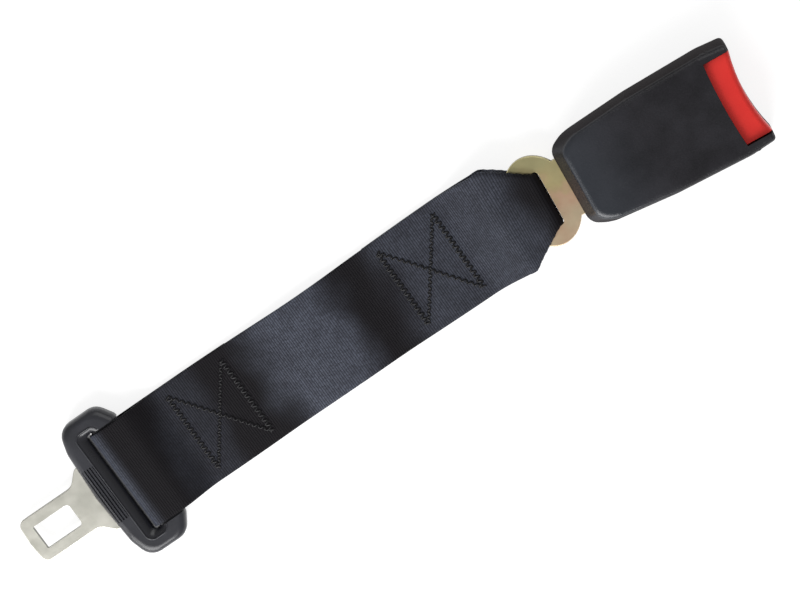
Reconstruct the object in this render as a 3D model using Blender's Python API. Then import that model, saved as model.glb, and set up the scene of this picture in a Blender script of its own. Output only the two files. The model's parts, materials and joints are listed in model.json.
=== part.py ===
"""A seat belt extender: a latch tongue and a push-button buckle joined by a short sewn strap.

It lies on z = 0 with the strap along X, the tongue at its -X end. The origin is on the underside
of the tongue's cover, halfway between the cover's front edge and its slot. The buckle is drawn in
its own frame, U along it towards the mouth, V across and W up, and hangs from an empty at the
strap's far fold, turned by the small angle at which it lies.
"""

import math

import bmesh
import bpy
from mathutils import Matrix, Vector

# Clearances, in metres.
SEAT_GAP = 0.0003  # between pieces that rest on each other
SLIDE_GAP = 0.0004  # beside pieces that slide
PIN_GAP = 0.0002  # round a pin or a rivet
STRAP_GAP = 0.0004  # between the strap and what it wraps

# Strap.
STRAP_WIDTH = 0.048
STRAP_THICKNESS = 0.0012
STRAP_REACH = 0.2205  # from fold to fold
STRAP_WAIST = 0.0465  # its width halfway along
TONGUE_SEAM_START = 0.037  # from the tongue's fold to the first row of stitches
BUCKLE_SEAM_START = 0.0452  # the same at the buckle
SEAM_LENGTH = 0.0285  # between a seam's two rows
TAIL_LENGTH = 0.005  # left beyond the last row
PLY_GAP = 0.0003  # between sewn layers
FOLDED_WIDTH = 0.0236  # where the edges are folded in, at the anchor
TAPER_LENGTH = 0.0195
TAPER_END = 0.0015  # from the far fold to where the strap is narrowest
FOLD_NOSE = 0.0032  # the round of the far fold's two corners
STRAP_ARCH = 0.0022  # how far the single layer stands up between the seams
BUCKLE_SWING = math.radians(-5.5)  # how far the buckle lies turned in the strap's loop
SWING_LENGTH = 0.018  # of the strap that takes up that turn

# Tongue.
BLADE_THICKNESS = 0.0023
BLADE_WIDTH = 0.021
BLADE_REACH = 0.035  # from the cover to the tip
TIP_ROUND = 0.0036
TIP_BOW = 0.0006
WINDOW_LENGTH = 0.0188
WINDOW_WIDTH = 0.0112
WINDOW_ROUND = 0.0018
TIP_BAR = 0.0047  # steel between the tip and the window
SHOULDER_RUN = 0.0062  # from the cover back to where the blade starts to widen
SHOULDER_RISE = 0.0054
SHOULDER_ROUND = 0.0060
LAND_LENGTH = 0.0085  # of the cover ahead of its slot
SLOT_LENGTH = 0.0066
THROAT = 0.0004  # between the slot's front wall, low down, and the strap
BAR_LENGTH = 0.0132
BAR_THICKNESS = 0.0062
COVER_SPAN = 0.068
COVER_ROUND = 0.0034  # of the cover's rim, in height
COVER_DRAW = 0.0030  # of the cover's rim, inwards
SLOT_LIP_ROUND = 0.0030  # of the slot's rim at its ends
COVER_WALL = 0.0012  # of plastic round the steel at the slot
GRIP_SPAN = 0.0270
GROOVE_COUNT = 5
GROOVE_PITCH = 0.0014
GROOVE_WIDTH = 0.0008
GROOVE_DEPTH = 0.0007
GRIP_SETBACK = 0.0010  # from the cover's front edge to the first groove

# Anchor plate.
ANCHOR_THICKNESS = 0.003
HEAD_LENGTH = 0.030
HEAD_WIDTH = 0.0406
ANCHOR_BAR = 0.0147
ANCHOR_SLOT = 0.0043
ANCHOR_SLOT_CLEARANCE = 0.0006  # at each end of the folded strap
NECK_WIDTH = 0.0262
NECK_SHOW = 0.0085  # gold steel seen between the slot and the housing
NECK_INSIDE = 0.0250  # of the neck within the housing
RIVET_RADIUS = 0.0020
RIVET_HEAD_RADIUS = 0.0034
RIVET_HEAD_HEIGHT = 0.0013
RIVET_SPREAD = 0.0140  # between the two rivets
RIVET_INSET = 0.0090  # from the neck's inner end

# Buckle housing.
HOUSING_LENGTH = 0.0842
HOUSING_WIDTH = 0.050
HOUSING_END_WIDTH = 0.035
HOUSING_HEIGHT = 0.022
HOUSING_WALL = 0.002
FLOOR_THICKNESS = 0.002
PARTING_HEIGHT = 0.0100
SIDE_DRAFT = 0.0013
END_DRAFT = 0.0040
TOP_ROUND = 0.0027
BOTTOM_ROUND = 0.0024
FRONT_DISH = 0.0024  # how hollow the mouth end is
HORN_ROUND = 0.0042  # of the housing's corners beside the button
EDGE_BOW = 0.0009  # of the cover's edge at the button
POST_RADIUS = 0.0018
POST_SETBACK = 0.0160  # of the rear posts from the narrow end
PIN_RADIUS = 0.0010
PIN_LENGTH = 0.0040

# Buckle frame, a bent steel channel.
FRAME_THICKNESS = 0.0020
FRAME_CLEARANCE = 0.0021  # from the housing's floor up to the frame
FRAME_SIDE_HEIGHT = 0.0102  # of the flanges above the base
CHANNEL_CLEARANCE = 0.0015  # beside the blade, each side
CHANNEL_LENGTH = 0.0480
FRAME_BEND_ROUND = 0.0010
MOUTH_HEIGHT = 0.0046
MOUTH_FLARE = 0.0010  # by which the mouth is wider than the channel, each side
SPRING_TAB_THICKNESS = 0.0015
SPRING_TAB_WIDTH = 0.0080

# Latch.
LATCH_THICKNESS = 0.0020
LATCH_LIFT = math.radians(8.5)
LATCH_PIN_RADIUS = 0.0015
KNUCKLE_WALL = 0.0012
LATCH_REACH = 0.0245  # from the pin to the hook's catching face
HOOK_LENGTH = 0.0036
HOOK_CLEARANCE = 0.0008  # beside the hook in the blade's window
HOOK_DEPTH = 0.0008  # of the hook below the base's upper face
EAR_LENGTH = 0.0040
EAR_REACH = 0.0040  # out past the frame's flange
SEATED_DEPTH = 0.0331  # how far a blade goes in past the housing's front

# Press button.
BUTTON_TRAVEL = 0.0060
BUTTON_SHOW = 0.0118  # of the button ahead of the top cover's edge
BUTTON_LAP = 0.0023  # of the button under that edge
BUTTON_WALL = 0.0022
BUTTON_SHOULDER = 0.0005  # of the button out past its arms, each side
BUTTON_LIP_ROUND = 0.0026
ARM_GAP = 0.0006  # from the frame's flange
ARM_WIDTH = 0.0037
ARM_TAIL = 0.0090  # of an arm behind the latch's ear
RAMP_GAP = 0.00035

# Ejector and springs.
EJECTOR_LENGTH = 0.0118
EJECTOR_HEIGHT = 0.0023
EJECTOR_HEEL = 0.0036  # the length of its taller rear
EJECTOR_SPRING_RADIUS = 0.0013
EJECTOR_SPRING_WIRE = 0.0005
EJECTOR_SPRING_TURNS = 7
BUTTON_SPRING_LENGTH = 0.0150
BUTTON_SPRING_RADIUS = 0.0016
BUTTON_SPRING_WIRE = 0.0006
BUTTON_SPRING_TURNS = 8
PEG_LENGTH = 0.0025
LATCH_SPRING_WIRE = 0.0006
LATCH_SPRING_TURNS = 4

# Places along X that follow from the sizes.
COVER_FRONT = -LAND_LENGTH / 2
SLOT_START = LAND_LENGTH / 2
BAR_START = SLOT_START + SLOT_LENGTH
BAR_END = BAR_START + BAR_LENGTH
TONGUE_FOLD = BAR_START - STRAP_GAP - STRAP_THICKNESS
ANCHOR_FOLD = TONGUE_FOLD + STRAP_REACH
TONGUE_LEVEL = BAR_THICKNESS / 2 + STRAP_GAP + STRAP_THICKNESS
SLOT_WALL = TONGUE_FOLD - THROAT
TIP = COVER_FRONT - BLADE_REACH
SLOT_HALF = STRAP_WIDTH / 2 + 2 * STRAP_GAP
ANCHOR_BAR_EDGE = -(ANCHOR_THICKNESS / 2 + 2 * STRAP_THICKNESS)  # along U, beside the far fold
ANCHOR_AXIS = ANCHOR_FOLD + ANCHOR_BAR_EDGE - ANCHOR_BAR / 2

# Places along U and heights W in the buckle, counted from the strap's far fold.
HOUSING_REAR = NECK_SHOW + 0.001
HOUSING_FRONT = HOUSING_REAR + HOUSING_LENGTH
BASE_BOTTOM = FLOOR_THICKNESS + FRAME_CLEARANCE + SEAT_GAP
BASE_TOP = BASE_BOTTOM + FRAME_THICKNESS
ANCHOR_BOTTOM = BASE_TOP + SEAT_GAP
ANCHOR_LEVEL = ANCHOR_BOTTOM + ANCHOR_THICKNESS / 2
ANCHOR_END = HOUSING_REAR + NECK_INSIDE
CHANNEL_HALF = BLADE_WIDTH / 2 + CHANNEL_CLEARANCE
FLANGE_OUTER = CHANNEL_HALF + FRAME_THICKNESS
MOUTH_HALF = CHANNEL_HALF + MOUTH_FLARE
CHANNEL_FRONT = HOUSING_FRONT - FRONT_DISH - HOUSING_WALL - SEAT_GAP - 0.001
CHANNEL_REAR = CHANNEL_FRONT - CHANNEL_LENGTH
HOOK_BACK = HOUSING_FRONT - SEATED_DEPTH + TIP_BAR + SLIDE_GAP
LATCH_PIVOT = HOOK_BACK - LATCH_REACH
LATCH_BOTTOM = BASE_TOP + MOUTH_HEIGHT + SLIDE_GAP
PIVOT_LEVEL = LATCH_BOTTOM + LATCH_THICKNESS
BUTTON_TOP = HOUSING_HEIGHT - HOUSING_WALL - SLIDE_GAP
BUTTON_BOTTOM = BASE_TOP + MOUTH_HEIGHT
BUTTON_FACE = HOUSING_FRONT - FRONT_DISH - BUTTON_WALL - 0.0004  # the inside of its front wall
EAR_FRONT = HOOK_BACK + HOOK_LENGTH + 0.003
EAR_BACK = EAR_FRONT - EAR_LENGTH
ARM_INNER = FLANGE_OUTER + ARM_GAP
ARM_OUTER = ARM_INNER + ARM_WIDTH
BUTTON_HALF = ARM_OUTER + BUTTON_SHOULDER
ARM_BOTTOM = BASE_TOP - SEAT_GAP
ARM_REAR = EAR_BACK - ARM_TAIL - 0.0015
SPRING_LEVEL = LATCH_BOTTOM + 0.0012

ARC_STEPS = 5


def arc(centre, radius, start, end, steps):
    """Points along an arc, both ends included."""
    return [
        (
            centre[0] + radius * math.cos(start + (end - start) * k / steps),
            centre[1] + radius * math.sin(start + (end - start) * k / steps),
        )
        for k in range(steps + 1)
    ]


def rounded(corners, steps=ARC_STEPS):
    """A closed outline through corners (x, y, radius), each turned into an arc of that radius."""
    points = []
    for i, (x, y, radius) in enumerate(corners):
        here = Vector((x, y))
        back = Vector(corners[i - 1][:2]) - here
        ahead = Vector(corners[(i + 1) % len(corners)][:2]) - here
        half = back.angle(ahead) / 2
        if radius <= 0 or half > math.radians(89.5):
            points.append((x, y))
            continue
        run = min(radius / math.tan(half), 0.49 * back.length, 0.49 * ahead.length)
        radius = run * math.tan(half)
        middle = (back.normalized() + ahead.normalized()).normalized()
        centre = here + middle * (radius / math.sin(half))
        first = here + back.normalized() * run - centre
        last = here + ahead.normalized() * run - centre
        turn = first.angle_signed(last)
        start = math.atan2(first.y, first.x)
        points += arc(centre, radius, start, start - turn, steps)
    return points


def mirrored(half):
    """Corners with y above 0, followed by their mirror images."""
    return half + [(x, -y, r) for x, y, r in reversed(half) if y > 0]


def rectangle(x0, x1, y0, y1, radius=0.0):
    return [(x0, y0, radius), (x1, y0, radius), (x1, y1, radius), (x0, y1, radius)]


def smooth(t):
    """0 to 1 with level ends."""
    t = min(max(t, 0.0), 1.0)
    return t * t * (3 - 2 * t)


def material(name, colour, roughness, metallic=0.0):
    made = bpy.data.materials.new(name)
    made.use_nodes = True
    shader = made.node_tree.nodes["Principled BSDF"]
    shader.inputs["Base Color"].default_value = (*colour, 1.0)
    shader.inputs["Roughness"].default_value = roughness
    shader.inputs["Metallic"].default_value = metallic
    made.diffuse_color = (*colour, 1.0)
    return made


def piece(name, bm, parent=None):
    """A closed bmesh as an object."""
    bmesh.ops.remove_doubles(bm, verts=bm.verts, dist=1e-7)
    bmesh.ops.recalc_face_normals(bm, faces=bm.faces)
    mesh = bpy.data.meshes.new(name)
    bm.to_mesh(mesh)
    bm.free()
    made = bpy.data.objects.new(name, mesh)
    bpy.context.scene.collection.objects.link(made)
    made.parent = parent
    return made


def along(axis, a, b, depth):
    """The point (a, b) of a profile, at a depth along the axis that the profile faces."""
    return {"X": (depth, a, b), "Y": (a, depth, b), "Z": (a, b, depth)}[axis]


def prism(name, points, low, high, axis="Z", parent=None, bevel=0.0, segments=2):
    """An outline pushed along an axis from low to high, its two rims bevelled."""
    bm = bmesh.new()
    face = bm.faces.new([bm.verts.new(along(axis, a, b, low)) for a, b in points])
    grown = bmesh.ops.extrude_face_region(bm, geom=[face])["geom"]
    top = [v for v in grown if isinstance(v, bmesh.types.BMVert)]
    bmesh.ops.translate(bm, verts=top, vec=along(axis, 0, 0, high - low))
    if bevel:
        index = "XYZ".index(axis)
        rims = [
            e for e in bm.edges
            if abs(e.verts[0].co[index] - e.verts[1].co[index]) < 1e-9
        ]
        bmesh.ops.bevel(
            bm, geom=rims, offset=bevel, segments=segments, profile=0.5, affect="EDGES"
        )
    return piece(name, bm, parent)


def loft(name, rings, parent=None):
    """A closed skin over rings of as many points each, capped at both ends."""
    bm = bmesh.new()
    made = [[bm.verts.new(p) for p in ring] for ring in rings]
    for low, high in zip(made, made[1:]):
        for k in range(len(low)):
            n = (k + 1) % len(low)
            bm.faces.new((low[k], low[n], high[n], high[k]))
    bm.faces.new(list(reversed(made[0])))
    bm.faces.new(made[-1])
    return piece(name, bm, parent)


def rod(name, radius, start, end, axis, centre, parent=None, sides=20):
    """A round bar from start to end along an axis, about centre in its profile plane."""
    bm = bmesh.new()
    bmesh.ops.create_cone(
        bm, cap_ends=True, segments=sides, radius1=radius, radius2=radius,
        depth=end - start,
    )
    turn = {
        "X": Matrix.Rotation(math.pi / 2, 4, "Y"),
        "Y": Matrix.Rotation(math.pi / 2, 4, "X"),
        "Z": Matrix.Identity(4),
    }[axis]
    place = Matrix.Translation(along(axis, *centre, (start + end) / 2))
    bm.transform(place @ turn)
    return piece(name, bm, parent)


def turned(name, profile, centre, parent=None, sides=16):
    """A profile of (radius, z) points spun about the vertical through centre."""
    bm = bmesh.new()
    verts = [bm.verts.new((centre[0] + r, centre[1], z)) for r, z in profile]
    edges = [bm.edges.new(pair) for pair in zip(verts, verts[1:])]
    bmesh.ops.spin(
        bm, geom=verts + edges, cent=(*centre, 0), axis=(0, 0, 1),
        angle=2 * math.pi, steps=sides, use_merge=True,
    )
    return piece(name, bm, parent)


def wire(name, points, radius, parent=None, resolution=1):
    """Round wire along points."""
    curve = bpy.data.curves.new(name, "CURVE")
    curve.dimensions = "3D"
    curve.bevel_depth = radius
    curve.bevel_resolution = resolution
    curve.use_fill_caps = True
    line = curve.splines.new("POLY")
    line.points.add(len(points) - 1)
    for point, place in zip(line.points, points):
        point.co = (*place, 1.0)
    made = bpy.data.objects.new(name, curve)
    bpy.context.scene.collection.objects.link(made)
    made.parent = parent
    return made


def combine(target, others, operation):
    """Unites the others with the target, or cuts them out of it."""
    for other in others:
        other.hide_render = True
        other.display_type = "WIRE"
        modifier = target.modifiers.new(f"{operation.lower()} {other.name}", "BOOLEAN")
        modifier.operation = operation
        modifier.solver = "EXACT"
        modifier.object = other
    return target


def add(target, *others):
    return combine(target, others, "UNION")


def cut(target, *others):
    return combine(target, others, "DIFFERENCE")


def finish(made, look, origin=None):
    """Gives a piece its material and its smooth shading, and sets its origin."""
    made.data.materials.append(look)
    if made.type == "MESH":
        made.data.shade_smooth()
        made.data.set_sharp_from_angle(angle=math.radians(35))
        if origin is not None:
            made.data.transform(Matrix.Translation(-Vector(origin)))
            made.location = origin
    return made


def empty(name, place, turn=0.0, parent=None):
    made = bpy.data.objects.new(name, None)
    made.empty_display_size = 0.01
    bpy.context.scene.collection.objects.link(made)
    made.location = place
    made.rotation_euler = (0, 0, turn)
    made.parent = parent
    return made


# The strap's bend in its own plane, near the anchor.
SWING_END = ANCHOR_AXIS - ANCHOR_BAR / 2 + 0.004
SWING_START = SWING_END - SWING_LENGTH


def swung(x, y):
    """Where a point of the straight strap lies once the buckle has swung."""
    if abs(BUCKLE_SWING) < 1e-6 or x <= SWING_START:
        return x, y
    radius = SWING_LENGTH / BUCKLE_SWING
    turn = BUCKLE_SWING * min((x - SWING_START) / SWING_LENGTH, 1.0)
    beyond = max(x - SWING_END, 0.0)
    return (
        SWING_START + radius * math.sin(turn) + beyond * math.cos(turn) - y * math.sin(turn),
        radius * (1 - math.cos(turn)) + beyond * math.sin(turn) + y * math.cos(turn),
    )


def strap_path():
    """The strap's middle line from tail to tail, as (x, z, thickness), round both bars."""
    low = STRAP_THICKNESS / 2
    ply = STRAP_THICKNESS + PLY_GAP
    folded = 2 * STRAP_THICKNESS
    first_row = TONGUE_FOLD + TONGUE_SEAM_START
    first_tail = first_row + SEAM_LENGTH + TAIL_LENGTH
    last_row = ANCHOR_FOLD - BUCKLE_SEAM_START
    last_tail = last_row - SEAM_LENGTH - TAIL_LENGTH
    near_centre = TONGUE_FOLD + TONGUE_LEVEL
    inner = ANCHOR_THICKNESS / 2 + SEAT_GAP
    far_centre = ANCHOR_FOLD - inner - folded
    near_radius = TONGUE_LEVEL - low
    far_radius = inner + folded / 2
    over_bar = BAR_END + 0.0006
    over_head = far_centre - ANCHOR_BAR - 0.0008

    path = []

    def run(x0, x1, z0, z1, t0, t1, steps):
        for k in range(steps + 1):
            share = k / steps
            ease = smooth(share)
            path.append((x0 + (x1 - x0) * share, z0 + (z1 - z0) * ease, t0 + (t1 - t0) * ease))

    def bend(centre_x, centre_z, radius, start, end, thickness, steps):
        for x, z in arc((centre_x, centre_z), radius, start, end, steps):
            path.append((x, z, thickness))

    t = STRAP_THICKNESS
    run(first_tail, near_centre, low, low, t, t, 12)
    bend(near_centre, TONGUE_LEVEL, near_radius, -math.pi / 2, -3 * math.pi / 2, t, 12)
    run(near_centre, over_bar, 2 * TONGUE_LEVEL - low, 2 * TONGUE_LEVEL - low, t, t, 2)
    run(over_bar, first_row - 0.003, 2 * TONGUE_LEVEL - low, low + ply, t, t, 10)
    run(first_row, first_tail, low + ply, low + ply, t, t, 5)
    middle = (first_tail + last_tail) / 2
    run(first_tail + 0.002, middle, low + ply, low + ply + STRAP_ARCH, t, t, 8)
    run(middle + 0.004, last_tail - 0.002, low + ply + STRAP_ARCH, low + ply, t, t, 8)
    run(last_tail, last_row, low + ply, low + ply, t, t, 5)
    run(last_row + 0.002, over_head, low + ply, ANCHOR_LEVEL + far_radius, t, folded, 12)
    run(over_head + 0.002, far_centre - 0.001, ANCHOR_LEVEL + far_radius,
        ANCHOR_LEVEL + far_radius, folded, folded, 5)
    bend(far_centre, ANCHOR_LEVEL, far_radius, math.pi / 2, -math.pi / 2, folded, 12)
    run(far_centre - 0.001, over_head + 0.002, ANCHOR_LEVEL - far_radius,
        ANCHOR_LEVEL - far_radius, folded, folded, 5)
    run(over_head, last_row + 0.002, ANCHOR_LEVEL - far_radius, low, folded, t, 12)
    run(last_row, last_tail, low, low, t, t, 6)
    clean = [path[0]]
    for place in path[1:]:
        if math.hypot(place[0] - clean[-1][0], place[1] - clean[-1][1]) > 2e-5:
            clean.append(place)
    return clean


def straight_ease(t, corner=0.10):
    """0 to 1 along a straight line whose two ends are rounded off over the given share."""
    t = min(max(t, 0.0), 1.0)
    steep = 1 / (1 - corner)
    if t < corner:
        return steep * t * t / (2 * corner)
    if t > 1 - corner:
        return 1 - steep * (1 - t) ** 2 / (2 * corner)
    return steep * (t - corner / 2)


def strap_half(x):
    """Half the strap's width at x: a slight waist, the folded-in edges, the nip at the fold."""
    middle = (TONGUE_FOLD + ANCHOR_FOLD) / 2
    off = min(abs(x - middle) / (STRAP_REACH * 0.3), 1.0)
    half = (STRAP_WAIST + (STRAP_WIDTH - STRAP_WAIST) * smooth(off)) / 2
    share = (ANCHOR_FOLD - TAPER_END - x) / TAPER_LENGTH
    folded = FOLDED_WIDTH / 2
    into = min(max(x - ANCHOR_FOLD + FOLD_NOSE, 0.0), FOLD_NOSE)
    nose = FOLD_NOSE - math.sqrt(FOLD_NOSE ** 2 - into ** 2)
    return folded + (half - folded) * straight_ease(share) - nose


def build_strap(look):
    path = strap_path()
    rings = []
    for i, (x, z, thickness) in enumerate(path):
        before, after = path[max(i - 1, 0)], path[min(i + 1, len(path) - 1)]
        ahead = Vector((after[0] - before[0], after[1] - before[1])).normalized()
        normal = Vector((-ahead.y, ahead.x))
        half, edge = strap_half(x), STRAP_THICKNESS * 0.35
        ring = []
        for y, h in (
            (-half, -thickness / 2 + edge), (-half + edge, -thickness / 2),
            (half - edge, -thickness / 2), (half, -thickness / 2 + edge),
            (half, thickness / 2 - edge), (half - edge, thickness / 2),
            (-half + edge, thickness / 2), (-half, thickness / 2 - edge),
        ):
            place = swung(x + normal.x * h, y)
            ring.append((place[0], place[1], z + normal.y * h))
        rings.append(ring)
    return finish(loft("strap", rings), look, (*swung(ANCHOR_AXIS, 0), ANCHOR_LEVEL))


def blade_outline(grow=0.0):
    """The tongue plate from above, its head hidden in the cover; grow widens the head."""
    half = BLADE_WIDTH / 2
    widen = COVER_FRONT - SHOULDER_RUN
    head = COVER_SPAN / 2 - COVER_DRAW - 0.0022
    return rounded(mirrored([
        (TIP - TIP_BOW, 0.0, 0.0),
        (TIP, half - TIP_ROUND * 0.6, 0.002),
        (TIP + TIP_ROUND * 0.45, half + grow, TIP_ROUND),
        (widen, half + grow, SHOULDER_ROUND),
        (widen + SHOULDER_RISE, half + SHOULDER_RISE + grow, SHOULDER_ROUND * 0.4),
        (COVER_FRONT + 0.004 - grow, half + SHOULDER_RISE + 0.001 + grow, 0.001),
        (COVER_FRONT + 0.006 - grow, head + grow, 0.004),
        (BAR_END - 0.0026 + grow, head + grow, 0.005),
        (BAR_END - 0.0026 + grow, 0.0, 0.0),
    ]))


def build_tongue(steel, plastic):
    hub = empty("tongue_hub", (BAR_START + BAR_LENGTH / 2, 0, TONGUE_LEVEL))
    low = TONGUE_LEVEL - BLADE_THICKNESS / 2
    high = TONGUE_LEVEL + BLADE_THICKNESS / 2
    blade = prism("tongue_blade", blade_outline(), low, high, bevel=0.00035)
    window_start = TIP + TIP_BAR
    window = prism("window_cutter", rounded([
        (window_start, -WINDOW_WIDTH / 2, 0.0004),
        (window_start + WINDOW_LENGTH, -WINDOW_WIDTH / 2, WINDOW_ROUND),
        (window_start + WINDOW_LENGTH, WINDOW_WIDTH / 2, WINDOW_ROUND),
        (window_start, WINDOW_WIDTH / 2, 0.0004),
    ]), low - 0.001, high + 0.001)
    reach = SLOT_HALF + COVER_WALL + SEAT_GAP
    steel_slot = prism("steel_slot_cutter", rounded(rectangle(
        SLOT_WALL - COVER_WALL - SEAT_GAP, BAR_START + COVER_WALL + SEAT_GAP,
        -reach, reach, 0.003,
    )), low - 0.001, high + 0.001)
    cut(blade, window, steel_slot)
    finish(blade, steel)

    half = COVER_SPAN / 2

    def cover_ring(inward, z):
        corners = mirrored([
            (COVER_FRONT + inward, 0.0, 0.0),
            (COVER_FRONT + 0.0014 + inward, half - 0.0105 - inward, 0.012),
            (COVER_FRONT + 0.0045 + inward, half - inward, 0.008),
            (BAR_END - 0.0050 - inward, half - inward, 0.007),
            (BAR_END - inward, half - 0.0080 - inward, 0.004),
            (BAR_END - inward, 0.0, 0.0),
        ])
        return [(x, y, z) for x, y in rounded(corners)]

    rings = []
    steps = 4
    for k in range(steps + 1):
        angle = math.pi / 2 * k / steps
        rings.append(cover_ring(
            COVER_DRAW * (1 - math.sin(angle)), COVER_ROUND * (1 - math.cos(angle)) * 0.9
        ))
    for k in range(steps + 1):
        angle = math.pi / 2 * (1 - k / steps)
        rings.append(cover_ring(
            COVER_DRAW * (1 - math.sin(angle)),
            2 * TONGUE_LEVEL - COVER_ROUND * (1 - math.cos(angle)),
        ))
    cover = loft("tongue_cover", rings)

    # The slot and the room for the strap over the bar are one passage, open to the rear.
    end = BAR_END + 0.004
    passage = prism("passage_cutter", rounded([
        (SLOT_WALL, -SLOT_HALF, 0.001), (end, -SLOT_HALF, 0.0),
        (end, SLOT_HALF, 0.0), (SLOT_WALL, SLOT_HALF, 0.001),
    ]), -0.001, 2 * TONGUE_LEVEL + 0.001)
    lip_rings = []
    for angle, up in ((0, 0.0), (30, 0.0), (55, 0.0), (75, 0.0), (90, 0.0), (90, 0.001)):
        out = 1 - math.cos(math.radians(angle))
        rise = math.sin(math.radians(angle))
        front = SLOT_WALL - (SLOT_WALL - SLOT_START) * out
        side = SLOT_HALF + SLOT_LIP_ROUND * out
        rear = BAR_START + SLOT_LIP_ROUND * (0.6 + out)
        z = TONGUE_LEVEL * (1 + rise) + up
        lip_rings.append([(x, y, z) for x, y in rounded([
            (front, -side, 0.0025), (rear, -side, 0.0025),
            (rear, side, 0.0025), (front, side, 0.0025),
        ])])
    lip = loft("slot_lip_cutter", lip_rings)
    bar_round = BAR_THICKNESS / 2
    bar_profile = (
        arc((BAR_START + bar_round, TONGUE_LEVEL), bar_round, math.pi / 2, 3 * math.pi / 2, 12)
        + arc((BAR_END - 0.0022, TONGUE_LEVEL - bar_round + 0.002), 0.002, -math.pi / 2, 0, 4)
        + arc((BAR_END - 0.0022, TONGUE_LEVEL + bar_round - 0.002), 0.002, 0, math.pi / 2, 4)
    )
    bar = prism("bar_core", bar_profile, -SLOT_HALF - 0.0006, SLOT_HALF + 0.0006, "Y")
    pocket = prism("pocket_cutter", blade_outline(SEAT_GAP), low - SEAT_GAP, high + SEAT_GAP)
    lining = prism("slot_lining", rounded(rectangle(
        SLOT_WALL - COVER_WALL, BAR_START + COVER_WALL,
        -SLOT_HALF - COVER_WALL, SLOT_HALF + COVER_WALL, 0.003,
    )), low - 0.001, high + 0.001)
    cut(pocket, lining)
    grooves = []
    for k in range(GROOVE_COUNT):
        x = COVER_FRONT + COVER_DRAW * 0.5 + GRIP_SETBACK + k * GROOVE_PITCH
        top = 2 * TONGUE_LEVEL
        grooves.append(prism(f"groove_cutter_{k}", [
            (x - GROOVE_WIDTH / 2, top + 0.0003), (x - GROOVE_WIDTH / 4, top - GROOVE_DEPTH),
            (x + GROOVE_WIDTH / 4, top - GROOVE_DEPTH), (x + GROOVE_WIDTH / 2, top + 0.0003),
        ], -GRIP_SPAN / 2, GRIP_SPAN / 2, "Y"))
    cut(cover, passage, lip)
    add(cover, bar)
    cut(cover, pocket, *grooves)
    finish(cover, plastic)
    for made in (blade, cover):
        made.parent = hub
        made.matrix_parent_inverse = Matrix.Translation(-hub.location)
    return hub


def anchor_outline():
    """The anchor plate from above: an oval head that runs into a straight neck."""
    a, b = HEAD_LENGTH / 2, HEAD_WIDTH / 2
    rear = ANCHOR_BAR_EDGE - ANCHOR_BAR
    centre = rear + a
    neck = NECK_WIDTH / 2
    meet = math.asin(min(neck / b, 0.99))
    points = [
        (centre - a * math.cos(t), b * math.sin(t))
        for t in [(math.pi - meet) * k / 20 for k in range(21)]
    ]
    upper = points + [(ANCHOR_END - 0.002, neck), (ANCHOR_END, neck - 0.002)]
    return upper + [(x, -y) for x, y in reversed(upper) if y > 1e-6]


def build_anchor(hub, zinc, steel):
    low, high = ANCHOR_BOTTOM, ANCHOR_BOTTOM + ANCHOR_THICKNESS
    plate = prism("anchor_plate", anchor_outline(), low, high, parent=hub, bevel=0.0004)
    half = FOLDED_WIDTH / 2 + ANCHOR_SLOT_CLEARANCE
    slot = prism("anchor_slot_cutter", rounded(rectangle(
        ANCHOR_BAR_EDGE, ANCHOR_BAR_EDGE + ANCHOR_SLOT, -half, half, 0.0015,
    )), low - 0.001, high + 0.001, parent=hub)
    cut(plate, slot)
    u = ANCHOR_END - RIVET_INSET
    for side, label in ((1, "left"), (-1, "right")):
        v = side * RIVET_SPREAD / 2
        hole = rod(f"anchor_rivet_hole_{label}", RIVET_RADIUS + PIN_GAP, low - 0.001,
                   high + 0.001, "Z", (u, v), hub)
        cut(plate, hole)
        rivet = turned(f"anchor_rivet_{label}", rivet_profile(), (u, v), hub)
        finish(rivet, steel)
    return finish(plate, zinc)


def rivet_profile():
    """Half a rivet: a low domed head on each side of the frame and the anchor plate."""
    bottom = BASE_BOTTOM - SEAT_GAP
    top = ANCHOR_BOTTOM + ANCHOR_THICKNESS + SEAT_GAP
    return [
        (0.0, bottom - RIVET_HEAD_HEIGHT),
        (RIVET_HEAD_RADIUS * 0.7, bottom - RIVET_HEAD_HEIGHT * 0.85),
        (RIVET_HEAD_RADIUS, bottom - RIVET_HEAD_HEIGHT * 0.2),
        (RIVET_HEAD_RADIUS, bottom),
        (RIVET_RADIUS, bottom),
        (RIVET_RADIUS, top),
        (RIVET_HEAD_RADIUS, top),
        (RIVET_HEAD_RADIUS, top + RIVET_HEAD_HEIGHT * 0.2),
        (RIVET_HEAD_RADIUS * 0.7, top + RIVET_HEAD_HEIGHT * 0.85),
        (0.0, top + RIVET_HEAD_HEIGHT),
    ]


def housing_outline(side=0.0, end=0.0, front=0.0):
    """The buckle from above, drawn in along its flanks, at its narrow end and at its mouth."""
    wide = HOUSING_WIDTH / 2
    tip = HOUSING_FRONT - front
    half = [
        (HOUSING_REAR + end, HOUSING_END_WIDTH / 2 - side, 0.0060),
        (HOUSING_REAR + end * 0.8 + 0.0075, wide - 0.0036 - side, 0.0150),
        (HOUSING_REAR + HOUSING_LENGTH * 0.45, wide - 0.0010 - side, 0.0600),
        (tip - 0.0120, wide - side, 0.0300),
        (tip - 0.0002, wide - 0.0010 - side, HORN_ROUND),
        (tip, BUTTON_HALF + 0.0010 - side * 0.2, 0.0006),
    ]
    edge = BUTTON_HALF
    dish = []
    for k in range(9):
        v = edge * (1 - k / 4)
        dish.append((tip - FRONT_DISH * (1 - (v / edge) ** 2), v, 0.0))
    other = [(x, -y, r) for x, y, r in reversed(half)]
    return rounded(half + dish + other)


def at(height, points):
    return [(x, y, height) for x, y in points]


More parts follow.
